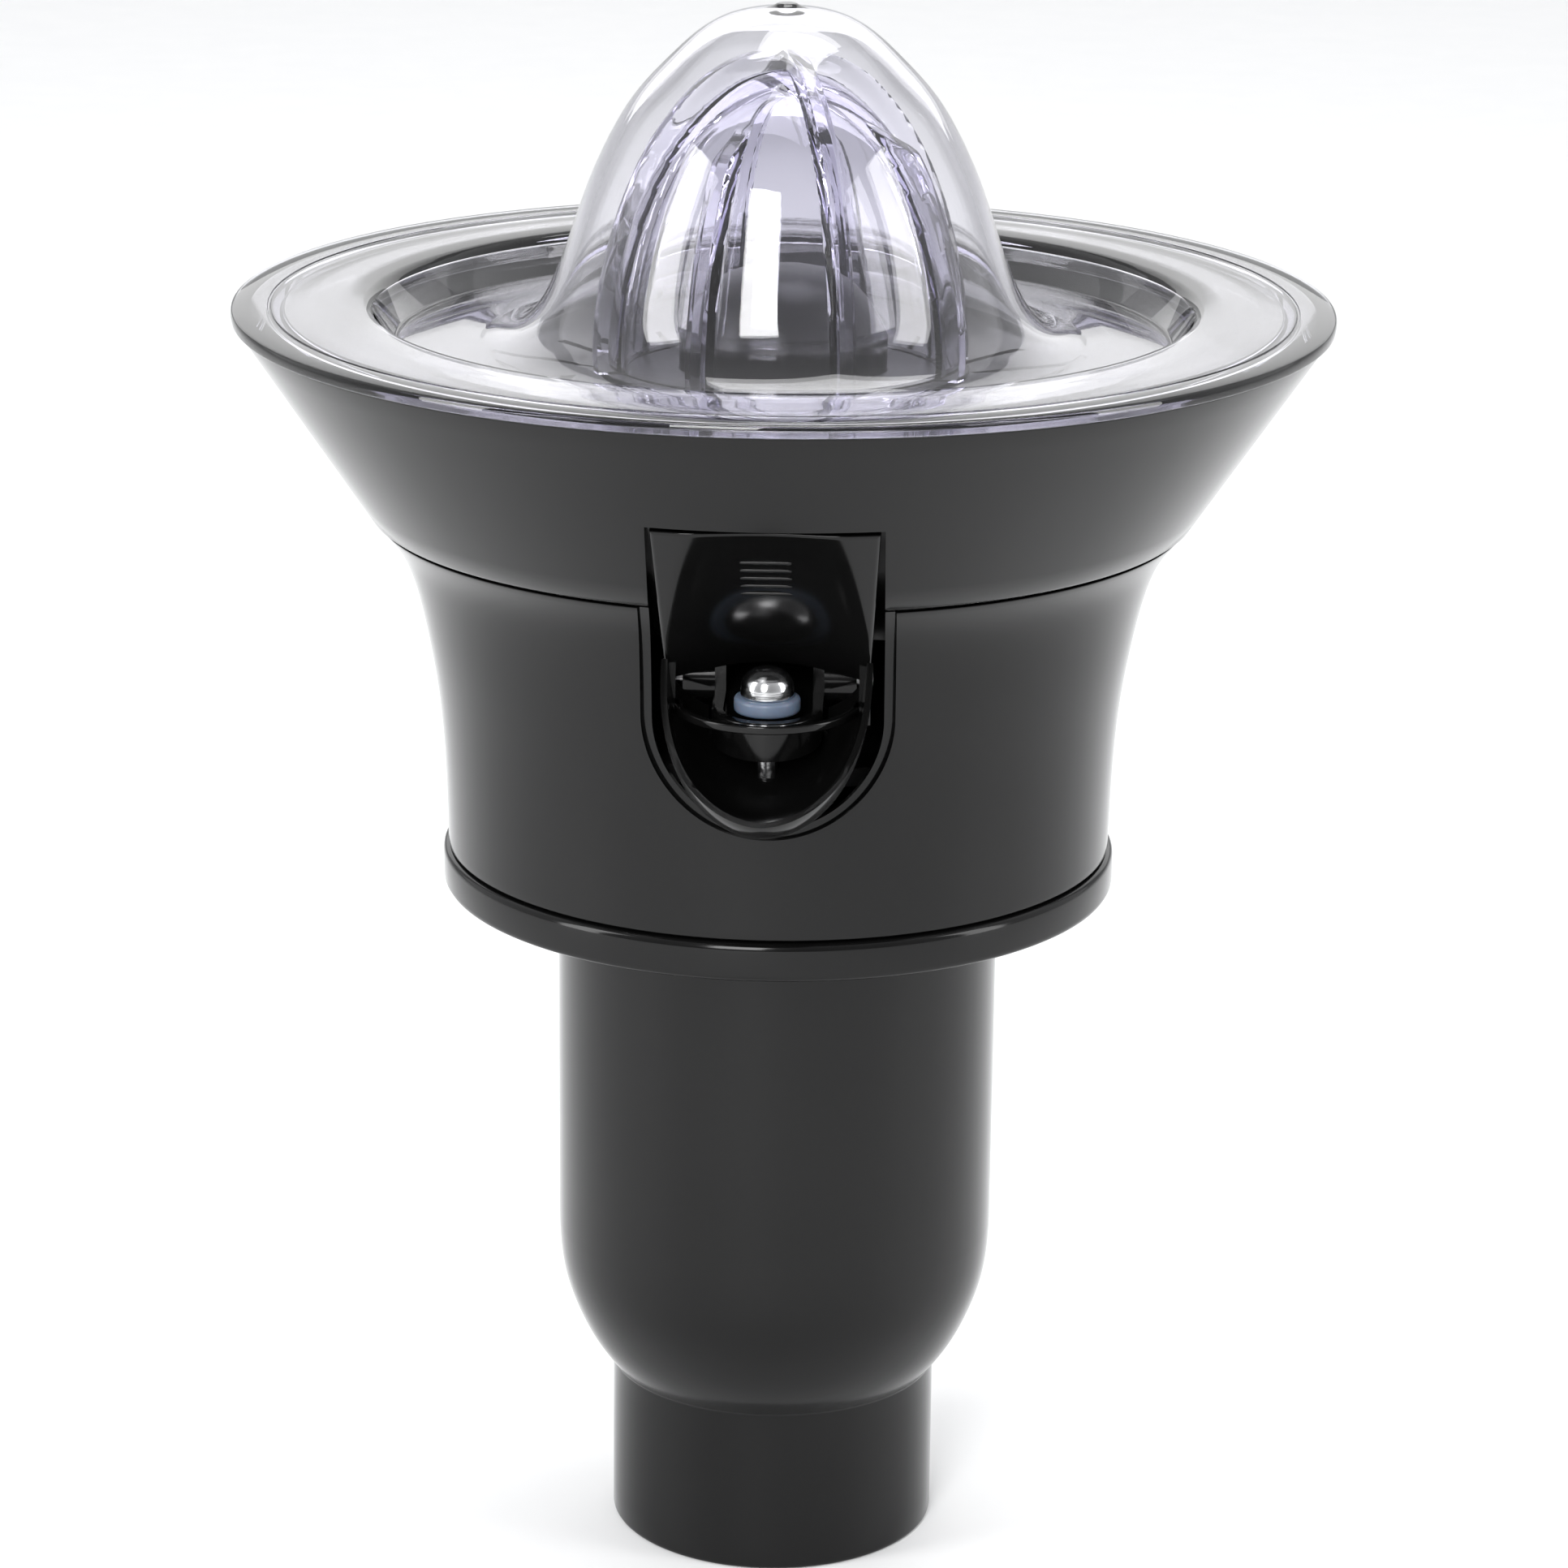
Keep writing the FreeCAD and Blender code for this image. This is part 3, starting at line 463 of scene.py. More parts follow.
# %% The finishes
black_gloss = make_material("black_gloss", (0.002, 0.002, 0.002), (0.0045, 0.0045, 0.0045),
                            (skin, {"Gloss": 0.09, "Spread": 0.06, "Waves": 0.5}), bump=0.15, IOR=1.33)
black_satin = make_material("black_satin", (0.006, 0.006, 0.006), (0.012, 0.012, 0.012),
                            (skin, {"Gloss": 0.32, "Spread": 0.12, "Waves": 0.3}), bump=0.3)
sheen_black = make_material("sheen_black", (0.035, 0.035, 0.036), (0.055, 0.055, 0.056),
                            (skin, {"Gloss": 0.14, "Spread": 0.1, "Waves": 0.3}), bump=0.2, IOR=1.55)
silicone = make_material("silicone", (0.10, 0.135, 0.20), (0.15, 0.19, 0.26),
                         (skin, {"Gloss": 0.32, "Spread": 0.1, "Waves": 0.3}), Subsurface_Weight=0.3,
                         Subsurface_Scale=0.002)
rubber = make_material("seal_rubber", (0.018, 0.018, 0.018), (0.032, 0.031, 0.030),
                       (skin, {"Gloss": 0.6, "Spread": 0.15, "Waves": 0.2}), bump=0.4)
nylon = make_material("gear_nylon", (0.62, 0.59, 0.50), (0.74, 0.71, 0.62),
                      (skin, {"Gloss": 0.35, "Spread": 0.1, "Waves": 0.2}), bump=0.3)
polished = make_material("polished_steel", (0.60, 0.61, 0.62), (0.72, 0.72, 0.73),
                         (lathed, {"Gloss": 0.10, "Lines": 0.5}), bump=0.1, Metallic=1.0)
steel = make_material("turned_steel", (0.42, 0.42, 0.43), (0.58, 0.58, 0.58),
                      (lathed, {"Gloss": 0.24, "Lines": 1.0}), bump=0.3, Metallic=1.0)
bronze = make_material("sintered_bronze", (0.42, 0.25, 0.11), (0.60, 0.40, 0.19),
                       (skin, {"Gloss": 0.38, "Spread": 0.2, "Waves": 0.1}), bump=0.5, Metallic=1.0)
print("opaque finishes:", len(bpy.data.materials))

# %% [markdown]
# The lid and the cone are clear plastic. It has almost no colour through the wall and a violet
# tint where one looks along the wall, so the colour is in the depth of the material.

# %% Clear plastic
VIOLET_DEPTH = (0.70, 0.66, 0.90, 1.0)


def clear_plastic(name, density):
    material = make_material(name, (0.97, 0.97, 0.985), (1.0, 1.0, 1.0),
                             (skin, {"Gloss": 0.0, "Spread": 0.035, "Waves": 0.6}), bump=0.15, IOR=1.49,
                             Transmission_Weight=1.0)
    tree = material.node_tree
    depth = tree.nodes.new("ShaderNodeVolumeAbsorption")
    depth.inputs["Color"].default_value = VIOLET_DEPTH
    depth.inputs["Density"].default_value = density
    tree.links.new(depth.outputs["Volume"], tree.nodes["Material Output"].inputs["Volume"])
    return material


clear_lid = clear_plastic("clear_lid", 36.0)
clear_cone = clear_plastic("clear_cone", 80.0)
print("materials:", len(bpy.data.materials))

# %% [markdown]
# Every piece is shown in the same way: it takes its finish, rides on one body of the mechanism,
# and stands for the solid that it covers.

# %% Showing a piece
def show(obj, material, body, slot, *nodes):
    """Gives a piece its finish, the body it rides on and the CAD nodes it stands for."""
    obj.data.materials.clear()
    obj.data.materials.append(material)
    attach(obj, body)
    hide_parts(*nodes)
    print(obj.name, "low, high, radius:", size_mm(obj))
    return obj


# %% [markdown]
# ## Lid
#
# A tall dome over the cone, a sunk well round it, then a broad flat rim that lies on the bowl.
# It is one moulding about two millimetres thick. The inside of the dome is the same curve moved
# square to itself, so the wall stays even. A fine groove runs near the outer edge, and a tiny
# gate mark stands on the top.

# %% Lid
RIM_Z, RIM_R, LID_R, LID_TOP = 217.8, 91.4, 92.1, 219.9
WELL_Z, WELL_R, WELL_EDGE_R = 213.5, 65.0, 70.2
DOME = [(0, 269.2), (11, 267), (19.6, 260.2), (25.2, 254), (29.4, 247), (32.5, 240.2), (35.2, 232.6),
        (37.6, 225.8), (40.6, 219.6), (45, 215.2), (51, WELL_Z)]
LID_WALL = 2.0


def inset_curve(points, gap):
    """A curve moved square to itself, towards the axis."""
    moved = []
    for before, here, after in zip(points, points[1:], points[2:]):
        dr, dz = after[0] - before[0], after[1] - before[1]
        length = math.hypot(dr, dz)
        moved.append((here[0] + gap * dz / length, here[1] - gap * dr / length))
    return moved


print("dome wall, mm:", LID_WALL)

# %% [markdown]
# The outline runs from the gate mark down the dome, across the well, up its edge and over the
# rim, then back along the underside with the locating rib.

# %% Lid outline
GATE_MARK = [(0, 269.6), (1.5, 269.55), (1.95, 269.3), (2.2, 269.13)]

outer = through(DOME, 0.8)
inner = through([(0, 269.2 - LID_WALL)] + inset_curve(DOME, LID_WALL) + [(51, WELL_Z - LID_WALL)], 0.8)
rib, rib_low = RIM_R - 6.0, RIM_Z - 4
well_lip = through([(WELL_EDGE_R - 1.6, 218.9), (WELL_EDGE_R - 1.0, 219.55), (WELL_EDGE_R, LID_TOP)], 0.3)
groove = [(rib, LID_TOP), (rib + 0.1, 219.6), (rib + 0.5, 219.6), (rib + 0.6, LID_TOP)]
rim_edge = [(LID_R - 0.6, LID_TOP), (LID_R - 0.15, 219.7), (LID_R, 219.1), (LID_R - 0.1, RIM_Z)]
underside = [(rib, RIM_Z), (rib, rib_low), (rib - LID_WALL, rib_low), (rib - LID_WALL, RIM_Z),
             (WELL_EDGE_R - 0.4, RIM_Z), (WELL_R - 0.2, WELL_Z - LID_WALL)]
lid = lathe("lid_clear", GATE_MARK + [p for p in outer if p[0] > 2.6]
            + [(WELL_R, WELL_Z), (WELL_EDGE_R - 1.8, 218.5)] + well_lip + groove + rim_edge + underside
            + inner[::-1], radius=0.35, turns=360)
show(lid, clear_lid, "lid", "clear_plastic", "lid")

# %% [markdown]
# ## Reamer cone
#
# A hollow pointed arch in clear plastic with eight raised fins: four reach the tip and four
# stop short of it. The outer face is one grid of points: at each height the radius steps from
# the body out to the fin over half a millimetre, which gives the fins soft edges.

# %% Cone shape
CONE_BASE, CONE_TOP, CONE_R = 207.0, 262.2, 33.0
FIN_HEIGHT, FIN_HALF, CONE_WALL = 4.0, 1.7, 2.2
FIRST_FIN, FINS = math.radians(-69.5), 8
SHORT_FIN_TOP = CONE_BASE + 44


def ogive(z, top, foot):
    """Radius of a pointed arch from its foot up to its tip."""
    share = min(1.0, max(0.0, (z - CONE_BASE) / (top - CONE_BASE)))
    return foot * (1.0 - share ** 2) ** 0.48


def soft_step(value):
    value = min(1.0, max(0.0, value))
    return value * value * (3 - 2 * value)


def fin_share(angle, z, reach):
    """One on a fin, nothing between the fins."""
    best = 0.0
    for k in range(FINS):
        turn = angle - FIRST_FIN - k * math.pi / 4
        if math.cos(turn) > 0:
            side = soft_step((FIN_HALF + 0.3 - abs(math.sin(turn)) * reach) / 0.6)
            best = max(best, side if k % 2 == 0 else side * soft_step((SHORT_FIN_TOP - z) / 5.0))
    return best


def arch_heights(top, count):
    """Heights from the cone's foot that crowd together near its top."""
    return [CONE_BASE + (top - CONE_BASE) * (1 - (1 - i / count) ** 1.8) for i in range(count)]


print("radius half way up, mm:", round(ogive((CONE_BASE + CONE_TOP) / 2, CONE_TOP, CONE_R), 1))

# %% [markdown]
# The cone's two faces are rings of points, one with the fins and a plain one inside it. Each
# closes in one point at its top, and a flat band joins them at the foot.

# %% Cone faces
CONE_TURNS = 1080
BODY_TOP, HOLLOW_TOP = CONE_TOP - 4.2, CONE_TOP - 8.0

points = []


def cone_ring(z, radius_at):
    """Adds a ring of points and gives their numbers."""
    first = len(points)
    for a in whole_turn(CONE_TURNS):
        r = radius_at(a)
        points.append((r * math.cos(a), r * math.sin(a), z))
    return list(range(first, first + CONE_TURNS))


def cone_tip(z):
    points.append((0, 0, z))
    return [len(points) - 1] * CONE_TURNS


outside, inside = [], []
for z in arch_heights(CONE_TOP, 90):
    full, body = ogive(z, CONE_TOP, CONE_R), ogive(z, BODY_TOP, CONE_R - FIN_HEIGHT)
    outside.append(cone_ring(z, lambda a: body + (full - body) * fin_share(a, z, max(full, 0.5))))
outside.append(cone_tip(CONE_TOP))
for z in arch_heights(HOLLOW_TOP, 60):
    hollow = ogive(z, HOLLOW_TOP, CONE_R - FIN_HEIGHT - CONE_WALL)
    inside.append(cone_ring(z, lambda a: hollow))
inside.append(cone_tip(HOLLOW_TOP))
faces = []
for rings in (outside, inside):
    for low, high in zip(rings, rings[1:]):
        faces += band(low, high)
faces += band(outside[0], inside[0])
cone = mesh_object("cone_clear", points, faces)
show(cone, clear_cone, "reamer", "clear_plastic", "reamer_cone")

# %% [markdown]
# ## Hub and strainer
#
# A black hub stands inside the clear cone and carries it on the drive shaft. It is turned: a
# domed cap, a disc that the cone stands on, and a skirt that runs clear of the bowl's tower.

# %% Hub
TOWER_R, TOWER_TOP = 13.6, 212.0
HUB_R, HUB_LOW, HUB_BORE, HUB_BORE_TOP = 17.5, 201.6, 5.2, 219.5
DISC_R, DISC_LOW = 31.6, CONE_BASE - 1.8
hub = lathe("cone_hub_black", through([(0, 226), (11, 223.4), (HUB_R, 214)], 0.8)
            + [(HUB_R, CONE_BASE), (DISC_R, CONE_BASE), (DISC_R, DISC_LOW), (HUB_R, DISC_LOW), (HUB_R, HUB_LOW),
               (TOWER_R + 1, HUB_LOW), (TOWER_R + 1, TOWER_TOP + 0.8), (HUB_BORE, TOWER_TOP + 0.8),
               (HUB_BORE, HUB_BORE_TOP), (0, HUB_BORE_TOP)])
show(hub, black_satin, "reamer", "black_shell", "cone_hub")

# %% [markdown]
# The strainer is a shallow black dish with 24 radial slots that the juice runs through. Its edge
# follows the funnel, so the funnel's slope is set here.

# %% Strainer
SEAM_Z, SEAM_R = 184.3, 69.2
FLARE = (RIM_R - SEAM_R) / (RIM_Z - SEAM_Z)


def funnel(z):
    """Outer radius of the funnel bowl at a height."""
    return SEAM_R + (z - SEAM_Z) * FLARE


SLOTS = 24
edge = funnel(206.0) - 3.4
strainer = lathe("strainer_dish", [(18.6, 203.6), (20.2, 203.6), (20.2, 200.5), (42, 200.5), (edge - 2, 206),
                                   (edge, 206), (edge - 1.8 * FLARE, 204.2), (edge - 3, 204.2), (42, 198.7),
                                   (20.2, 198.7), (18.6, 198.7)])
slots = []
for k in range(SLOTS):
    slot = prism("slot", 0.9, [(38, 190), (60, 190), (60, 212), (38, 212)])
    slot.data.transform(Matrix.Rotation(k * math.pi / 12, 4, "Z"))
    slots.append(slot)
cut(strainer, slots)
show(strainer, sheen_black, "strainer", "black_satin", "strainer")

# %% [markdown]
# ## Bowl
#
# The funnel is turned, then a pocket is built behind the spout and a notch is cut through it
# for the spout lever. A tower in the middle passes over the bearing column, and a short
# sloping tray under the floor leads the juice to the stopper's seat. The tray slopes so that it
# is square to the stopper when the lever is tipped shut.

# %% Bowl sizes
FLOOR_Z, SKIRT_R, SKIN = 178.0, 59.9, 2.6
NOTCH_HALF, NOTCH_TOP = 18.6, 200.2
PIVOT_OUT, PIVOT_Z, CLOSE = 46.0, 168.0, math.radians(9.4)
STOPPER_OUT, SEAL_Z, SEAL_H, SEAL_R = 60.0, 166.0, 2.5, 5.3
TRAY_HALF, TRAY_WALL, TRAY_FLOOR, TRAY_RIM = 8.8, 1.8, 2.0, 166.3


def tray_floor(out):
    """Height of the tray's sloping floor, in line with the closed stopper."""
    arm, drop = STOPPER_OUT - PIVOT_OUT, SEAL_Z - PIVOT_Z
    seat_out = PIVOT_OUT + arm * math.cos(CLOSE) + drop * math.sin(CLOSE)
    seat_z = PIVOT_Z - arm * math.sin(CLOSE) + drop * math.cos(CLOSE)
    return seat_z - 0.1 - (out - seat_out) * math.tan(CLOSE)


print("tray floor under the stopper, mm:", round(tray_floor(STOPPER_OUT), 1))

# %% [markdown]
# The pocket's walls would stand out of the funnel, so they are kept only where they lie inside a
# slightly smaller copy of it. The notch is then cut through the whole.

# %% Funnel and pocket
BOWL_OUTLINE = [(0, FLOOR_Z), (SKIRT_R - 2.4, FLOOR_Z), (SKIRT_R - 2.4, SEAM_Z + 1), (funnel(188) - 3.1, 188),
                (RIM_R - 3.1, RIM_Z), (RIM_R, RIM_Z), (SEAM_R + 0.5, SEAM_Z + 0.75), (SEAM_R - 0.6, SEAM_Z),
                (SKIRT_R, SEAM_Z), (SKIRT_R, FLOOR_Z - SKIN), (0, FLOOR_Z - SKIN)]
bowl = lathe("bowl_black", BOWL_OUTLINE, radius=0.5, turns=360)
envelope = lathe("envelope", [(0, RIM_Z - 1), (funnel(RIM_Z - 1) - 0.6, RIM_Z - 1), (SEAM_R, SEAM_Z + 0.75),
                              (SEAM_R - 1.2, SEAM_Z + 0.02), (SKIRT_R - 0.02, SEAM_Z + 0.02),
                              (SKIRT_R - 0.02, FLOOR_Z - SKIN + 0.02), (0, FLOOR_Z - SKIN + 0.02)],
                 radius=0.0, turns=360)
pocket = prism("pocket", NOTCH_HALF + 2.4, [(48.1, 170), (48.1, FLOOR_Z), (72.2, NOTCH_TOP + 2.4),
                                            (95, NOTCH_TOP + 2.4), (95, 170)])
tower = lathe("tower", [(0, FLOOR_Z - 1), (TOWER_R, FLOOR_Z - 1), (TOWER_R, TOWER_TOP), (0, TOWER_TOP)], turns=128)
join(bowl, [overlap(pocket, envelope), tower])
cut(bowl, prism("notch", NOTCH_HALF, [(75, NOTCH_TOP), (50.5, FLOOR_Z - SKIN), (50.5, 150), (110, 150),
                                      (110, NOTCH_TOP)]))
print("funnel and pocket:", size_mm(bowl))

# %% [markdown]
# The tray is made whole and cut along its slope. The duct brings the juice through the floor,
# the basin is hollowed down to the slope, and the seat hole goes through it. The ears at its
# sides carry the lever's pins.

# %% Tray, seat and ears
duct = prism("duct", TRAY_HALF, [(33, tray_floor(33) - TRAY_FLOOR), (33, FLOOR_Z - 1), (50, FLOOR_Z - 1),
                                 (50, tray_floor(50) - TRAY_FLOOR)])
tray = join(lathe("tray", [(0, 150), (TRAY_HALF, 150), (TRAY_HALF, TRAY_RIM), (0, TRAY_RIM)],
                  turns=96, y=-STOPPER_OUT),
            prism("tray_sides", TRAY_HALF, [(49, 150), (49, TRAY_RIM), (STOPPER_OUT, TRAY_RIM),
                                            (STOPPER_OUT, 150)]))
cut(tray, prism("under", 40, [(20, tray_floor(20) - TRAY_FLOOR), (90, tray_floor(90) - TRAY_FLOOR),
                              (90, 100), (20, 100)]))
join(bowl, [duct, tray])
half_in = TRAY_HALF - TRAY_WALL
channel = prism("channel", half_in, [(34.8, tray_floor(34.8)), (34.8, FLOOR_Z + 1), (47, FLOOR_Z + 1),
                                     (47, FLOOR_Z - SKIN), (STOPPER_OUT, FLOOR_Z - SKIN),
                                     (STOPPER_OUT, tray_floor(STOPPER_OUT))])
above = prism("above", 40, [(20, tray_floor(20)), (90, tray_floor(90)), (90, 176), (20, 176)])
basin = overlap(lathe("basin", [(0, 150), (half_in, 150), (half_in, 175), (0, 175)],
                      turns=96, y=-STOPPER_OUT), above)
SEAT_R, EAR_R, EAR_END, BORE_R = 3.6, 4.0, 14, 11.4
cut(bowl, [channel, basin, bar("seat", SEAT_R, (0, -STOPPER_OUT, 150), (0, -STOPPER_OUT, 175))])
for side in (-1, 1):
    inner_end = (side * (TRAY_HALF - 1), -PIVOT_OUT, PIVOT_Z)
    join(bowl, bar("ear", EAR_R, inner_end, (side * EAR_END, -PIVOT_OUT, PIVOT_Z)))
cut(bowl, bar("bore", BORE_R, (0, 0, 150), (0, 0, 230), 128))
show(bowl, black_gloss, "bowl", "black_shell", "bowl")

# %% [markdown]
# ## Housing
#
# The housing is an hourglass shell. A U-shaped opening at the front clears the spout, and a
# narrow sunk border runs round it. The shell is turned and the U is cut through it. The border
# is a wider U, of which only what lies outside a slightly smaller hourglass is cut away, so it
# has one depth all round.

# %% Housing
CUT_BOTTOM, BORDER, BORDER_DEEP = 144.9, 1.8, 0.8
HOUSING_LOW, HOUSING_HIGH, HOUSING_WALL, FOOT_BORE_R = 126.0, 184.0, 2.6, 37.8
WAIST = [(56.8, 126.0), (57.2, 139.5), (58.3, 153.2), (60.0, 163.5), (62.3, 173.1), (64.9, 179.2), (68.6, 184.0)]


def hourglass(inset, low, high):
    """The housing's side curve, moved in towards the axis, between two heights."""
    kept = [(r - inset, z) for r, z in through(WAIST, 1.5) if low + 0.05 < z < high - 0.05]
    return [(WAIST[0][0] - inset, low)] + kept + [(WAIST[-1][0] - inset, high)]


def u_shape(name, half, bottom):
    """A solid with the section of an upright U, which reaches forward from the axis."""
    centre = bottom + half
    slot = bar("round", half, (0, 0, centre), (0, -110, centre), 192)
    return join(slot, prism("upright", half, [(0, centre), (110, centre), (110, 230), (0, 230)]))


housing = lathe("housing_black", hourglass(0, HOUSING_LOW, HOUSING_HIGH)
                + hourglass(HOUSING_WALL, HOUSING_LOW + HOUSING_WALL, HOUSING_HIGH)[::-1]
                + [(FOOT_BORE_R, HOUSING_LOW + HOUSING_WALL), (FOOT_BORE_R, HOUSING_LOW)], turns=432, longest=1.2)
core = lathe("core", [(0, HOUSING_LOW - 1)] + hourglass(BORDER_DEEP, HOUSING_LOW - 1, HOUSING_HIGH + 1)
             + [(0, HOUSING_HIGH + 1)], radius=0.0, turns=432)
border = cut(u_shape("border", NOTCH_HALF + BORDER, CUT_BOTTOM - BORDER + 0.3), core)
cut(housing, [border, u_shape("opening", NOTCH_HALF, CUT_BOTTOM)])
show(housing, black_gloss, "stand", "black_shell", "housing")

# %% [markdown]
# ## Base ring
#
# A trim ring hides the screwed joint between housing and stem. It is an L in section, turned,
# with a full rounded edge that draws one bright line round the foot of the housing.

# %% Base ring
RING_R, RING_BORE_R, RING_SEAT_R = 57.7, 44, 53.3
RING_LOW, RING_TOP, RING_LIP = 119.2, 125.7, 123.0
ring = lathe("base_ring_black", [(RING_BORE_R, RING_LOW), (RING_R, RING_LOW), (RING_R, RING_TOP),
                                 (RING_SEAT_R, RING_TOP), (RING_SEAT_R, RING_LIP), (RING_BORE_R, RING_LIP)],
             radius=1.2, turns=360)
show(ring, black_gloss, "stand", "black_shell", "base_ring")

# %% [markdown]
# ## Stem
#
# One moulding from the spigot up to the flange. A rounded shoulder leads from the narrow spigot
# to the wide stem, which is hollow for the gears and has a floor above the drive socket.

# %% Stem
SPIGOT_R, STEM_R, NECK_R, FLANGE_R = 28.4, 38, 37.4, 53
shoulder = through([(STEM_R, 56), (37.7, 50.7), (36.8, 45.5), (34.9, 40), (31.8, 34), (28.9, 30)], 0.8)
hollow = [(26, 0), (26, 34), (7.2, 34), (7.2, 38), (27, 38), (32.6, 46), (32.6, 52), (35.3, 52), (35.3, 128.6)]
flange = [(NECK_R, 128.6), (NECK_R, HOUSING_LOW), (FLANGE_R, HOUSING_LOW), (FLANGE_R, RING_LIP),
          (NECK_R, RING_LIP), (NECK_R, 118.6), (STEM_R, 118.6)]
stem = lathe("stem_black", [(SPIGOT_R, 0)] + hollow + flange + shoulder + [(SPIGOT_R, 29.4)],
             radius=0.9, turns=360)
show(stem, black_gloss, "stand", "black_shell", "stem_housing")

# %% [markdown]
# ## Spout lever
#
# The lever is one moulding: a panel that lies flush in the funnel with a soft hollow for the
# finger and five fine grip lines, an arch that looks down on the stopper, two cheeks that reach
# the pivot, and a pointed lip below, which is half a nose cone with a thin wall.

# %% The panel's face
SCOOP_LOW, SCOOP_HIGH, SCOOP_R = (53.0, 172.1), (77.0, 197.5), 21.5
SOFTNESS = 7.0
TILT = math.hypot(SCOOP_HIGH[0] - SCOOP_LOW[0], SCOOP_HIGH[1] - SCOOP_LOW[1])


def scoop_line(z):
    """How far out the deepest line of the hollow is at a height."""
    return SCOOP_LOW[0] + (z - SCOOP_LOW[1]) * (SCOOP_HIGH[0] - SCOOP_LOW[0]) / (SCOOP_HIGH[1] - SCOOP_LOW[1])


def panel_front(x, z):
    """The panel's outer face: the funnel, softly blended into a round hollow."""
    flush = math.sqrt(funnel(z) ** 2 - x * x)
    hollow = scoop_line(z) + (SCOOP_R - math.sqrt(SCOOP_R ** 2 - x * x)) * TILT / (SCOOP_HIGH[1] - SCOOP_LOW[1])
    near = max(SOFTNESS - abs(flush - hollow), 0.0) / SOFTNESS
    return min(flush, hollow) - near * near * SOFTNESS / 4


print("depth of the hollow at mid height, mm:", round(funnel(185) - panel_front(0, 185), 1))

# %% [markdown]
# A boolean cut would leave the soft hollow in steps, so the panel is a grid of points on that
# face, a second grid behind it, and a strip that joins their edges. The rows crowd together at
# the top and the sides, where the edge is rounded.

# %% The panel
def panel_mesh(name, top_z, across=120, up=90):
    """Closed panel between its outer face and a face behind it, rounded at the top and the sides."""
    points, faces = [], []
    edge = 0.7
    for layer in range(2):
        for i in range(across + 1):
            side = math.sin(math.pi / 2 * (2 * i / across - 1))
            x_low = side * 16.4
            low_z = 171.0
            for _ in range(30):
                low_z = 172.1 - (panel_front(x_low, low_z) - 53.0) * 0.381
            for k in range(up + 1):
                share = math.sin(math.pi / 2 * k / up)
                z = low_z + (top_z - low_z) * share
                half = 16.5 + 1.4 * min(1.0, max(0.0, (z - 174.5) / 25.0))
                x = side * half
                out = panel_front(x, z)
                if layer == 0:
                    inward = 1 - min(1.0, min(half - abs(x), top_z - z) / edge)
                    out -= edge * 0.7 * (1 - math.sqrt(1 - inward * inward))
                else:
                    out = max(out - 2.6, 51.8 + max(0.0, z - 174.6) * 0.882)
                points.append((x, -out, z))
    row, layer_size = up + 1, (across + 1) * (up + 1)
    for i in range(across):
        for k in range(up):
            a, b, c, d = i * row + k, (i + 1) * row + k, (i + 1) * row + k + 1, i * row + k + 1
            faces += [[a, b, c, d], [layer_size + d, layer_size + c, layer_size + b, layer_size + a]]
    rim = [i * row for i in range(across + 1)] + [across * row + k for k in range(1, row)]
    rim += [i * row + up for i in range(across - 1, -1, -1)] + [k for k in range(up - 1, 0, -1)]
    for a, b in zip(rim, rim[1:] + rim[:1]):
        faces.append([a, layer_size + a, layer_size + b, b])
    return mesh_object(name, points, faces)


lever = panel_mesh("lever_black", 199.5)
print("panel:", size_mm(lever))

# %% [markdown]
# The lip is a nose cone about a sloping line. Its lower half is the outside, and a whole one,
# smaller by the wall, is cut from it, so that no cut face lies on another.

# %% The lip
TIP, START = (86.0, 154.7), (61.0, 174.5)
LIP_HALF, LIP_WALL = 16.8, 1.0


def nose_cone(name, inset, whole=False, around=96):
    """A nose cone from the lip's start to its tip: the half that hangs below the line, or all of it."""
    start, tip = Vector((0, -START[0], START[1])), Vector((0, -TIP[0], TIP[1]))
    along = (tip - start).normalized()
    down = Vector((0, 0, -1))
    down = (down - along * down.dot(along)).normalized()
    across = Vector((1, 0, 0))
    length, half = (tip - start).length - inset, LIP_HALF - inset
    shares = [math.sin(math.pi / 2 * k / 60) for k in range(61)]
    line = [(length * share, half * (1 - share ** 2.6) ** 0.55) for share in shares]
    if whole:
        line = [(-1.0, half)] + line
    angles = [(2 if whole else 1) * math.pi * k / around for k in range(around if whole else around + 1)]
    points, rows = [], []
    for s, r in line[:-1]:
        rows.append(list(range(len(points), len(points) + len(angles))))
        points += [tuple(start + along * s + r * (math.cos(a) * across + math.sin(a) * down)) for a in angles]
    points.append(tuple(start + along * length))
    rows.append([len(points) - 1] * len(angles))
    faces = [rows[0][::-1]]
    for low, high in zip(rows, rows[1:]):
        faces += band(low, high, around)
    if not whole:
        faces.append([row[0] for row in rows] + [row[-1] for row in rows[:-1]][::-1])
    return mesh_object(name, points, faces)


tray_gap = TRAY_FLOOR + 0.8
lip = nose_cone("lip", 0.0)
cut(lip, prism("tray_gap", TRAY_HALF + 0.8, [(45, tray_floor(45) - tray_gap), (62, tray_floor(62) - tray_gap),
                                             (62, 180), (45, 180)]))
cut(lip, nose_cone("lip_inside", LIP_WALL, whole=True))
round_edges(lip, 0.3)
print("lip:", size_mm(lip))

# %% [markdown]
# The small things complete the lever: five grip lines across the panel, a half collar round the
# stopper with its two ties, and the cheeks that swing on the pivot pins.

# %% Grip lines, collar and cheeks
GRIP_LINES, GRIP_LOW, GRIP_STEP = 5, 187.2, 1.6
COLLAR_LOW, COLLAR_HIGH, COLLAR_OUT = 166.2, 167.5, 59.3
CHEEK = [(42.2, 164.5), (42.2, 171), (45, 172.6), (52, 173.6), (55, 176), (59.6, 173.6), (60.6, 168), (57, 163),
         (50, 162)]
cheek_middle = LIP_HALF - 0.3 - 1.0

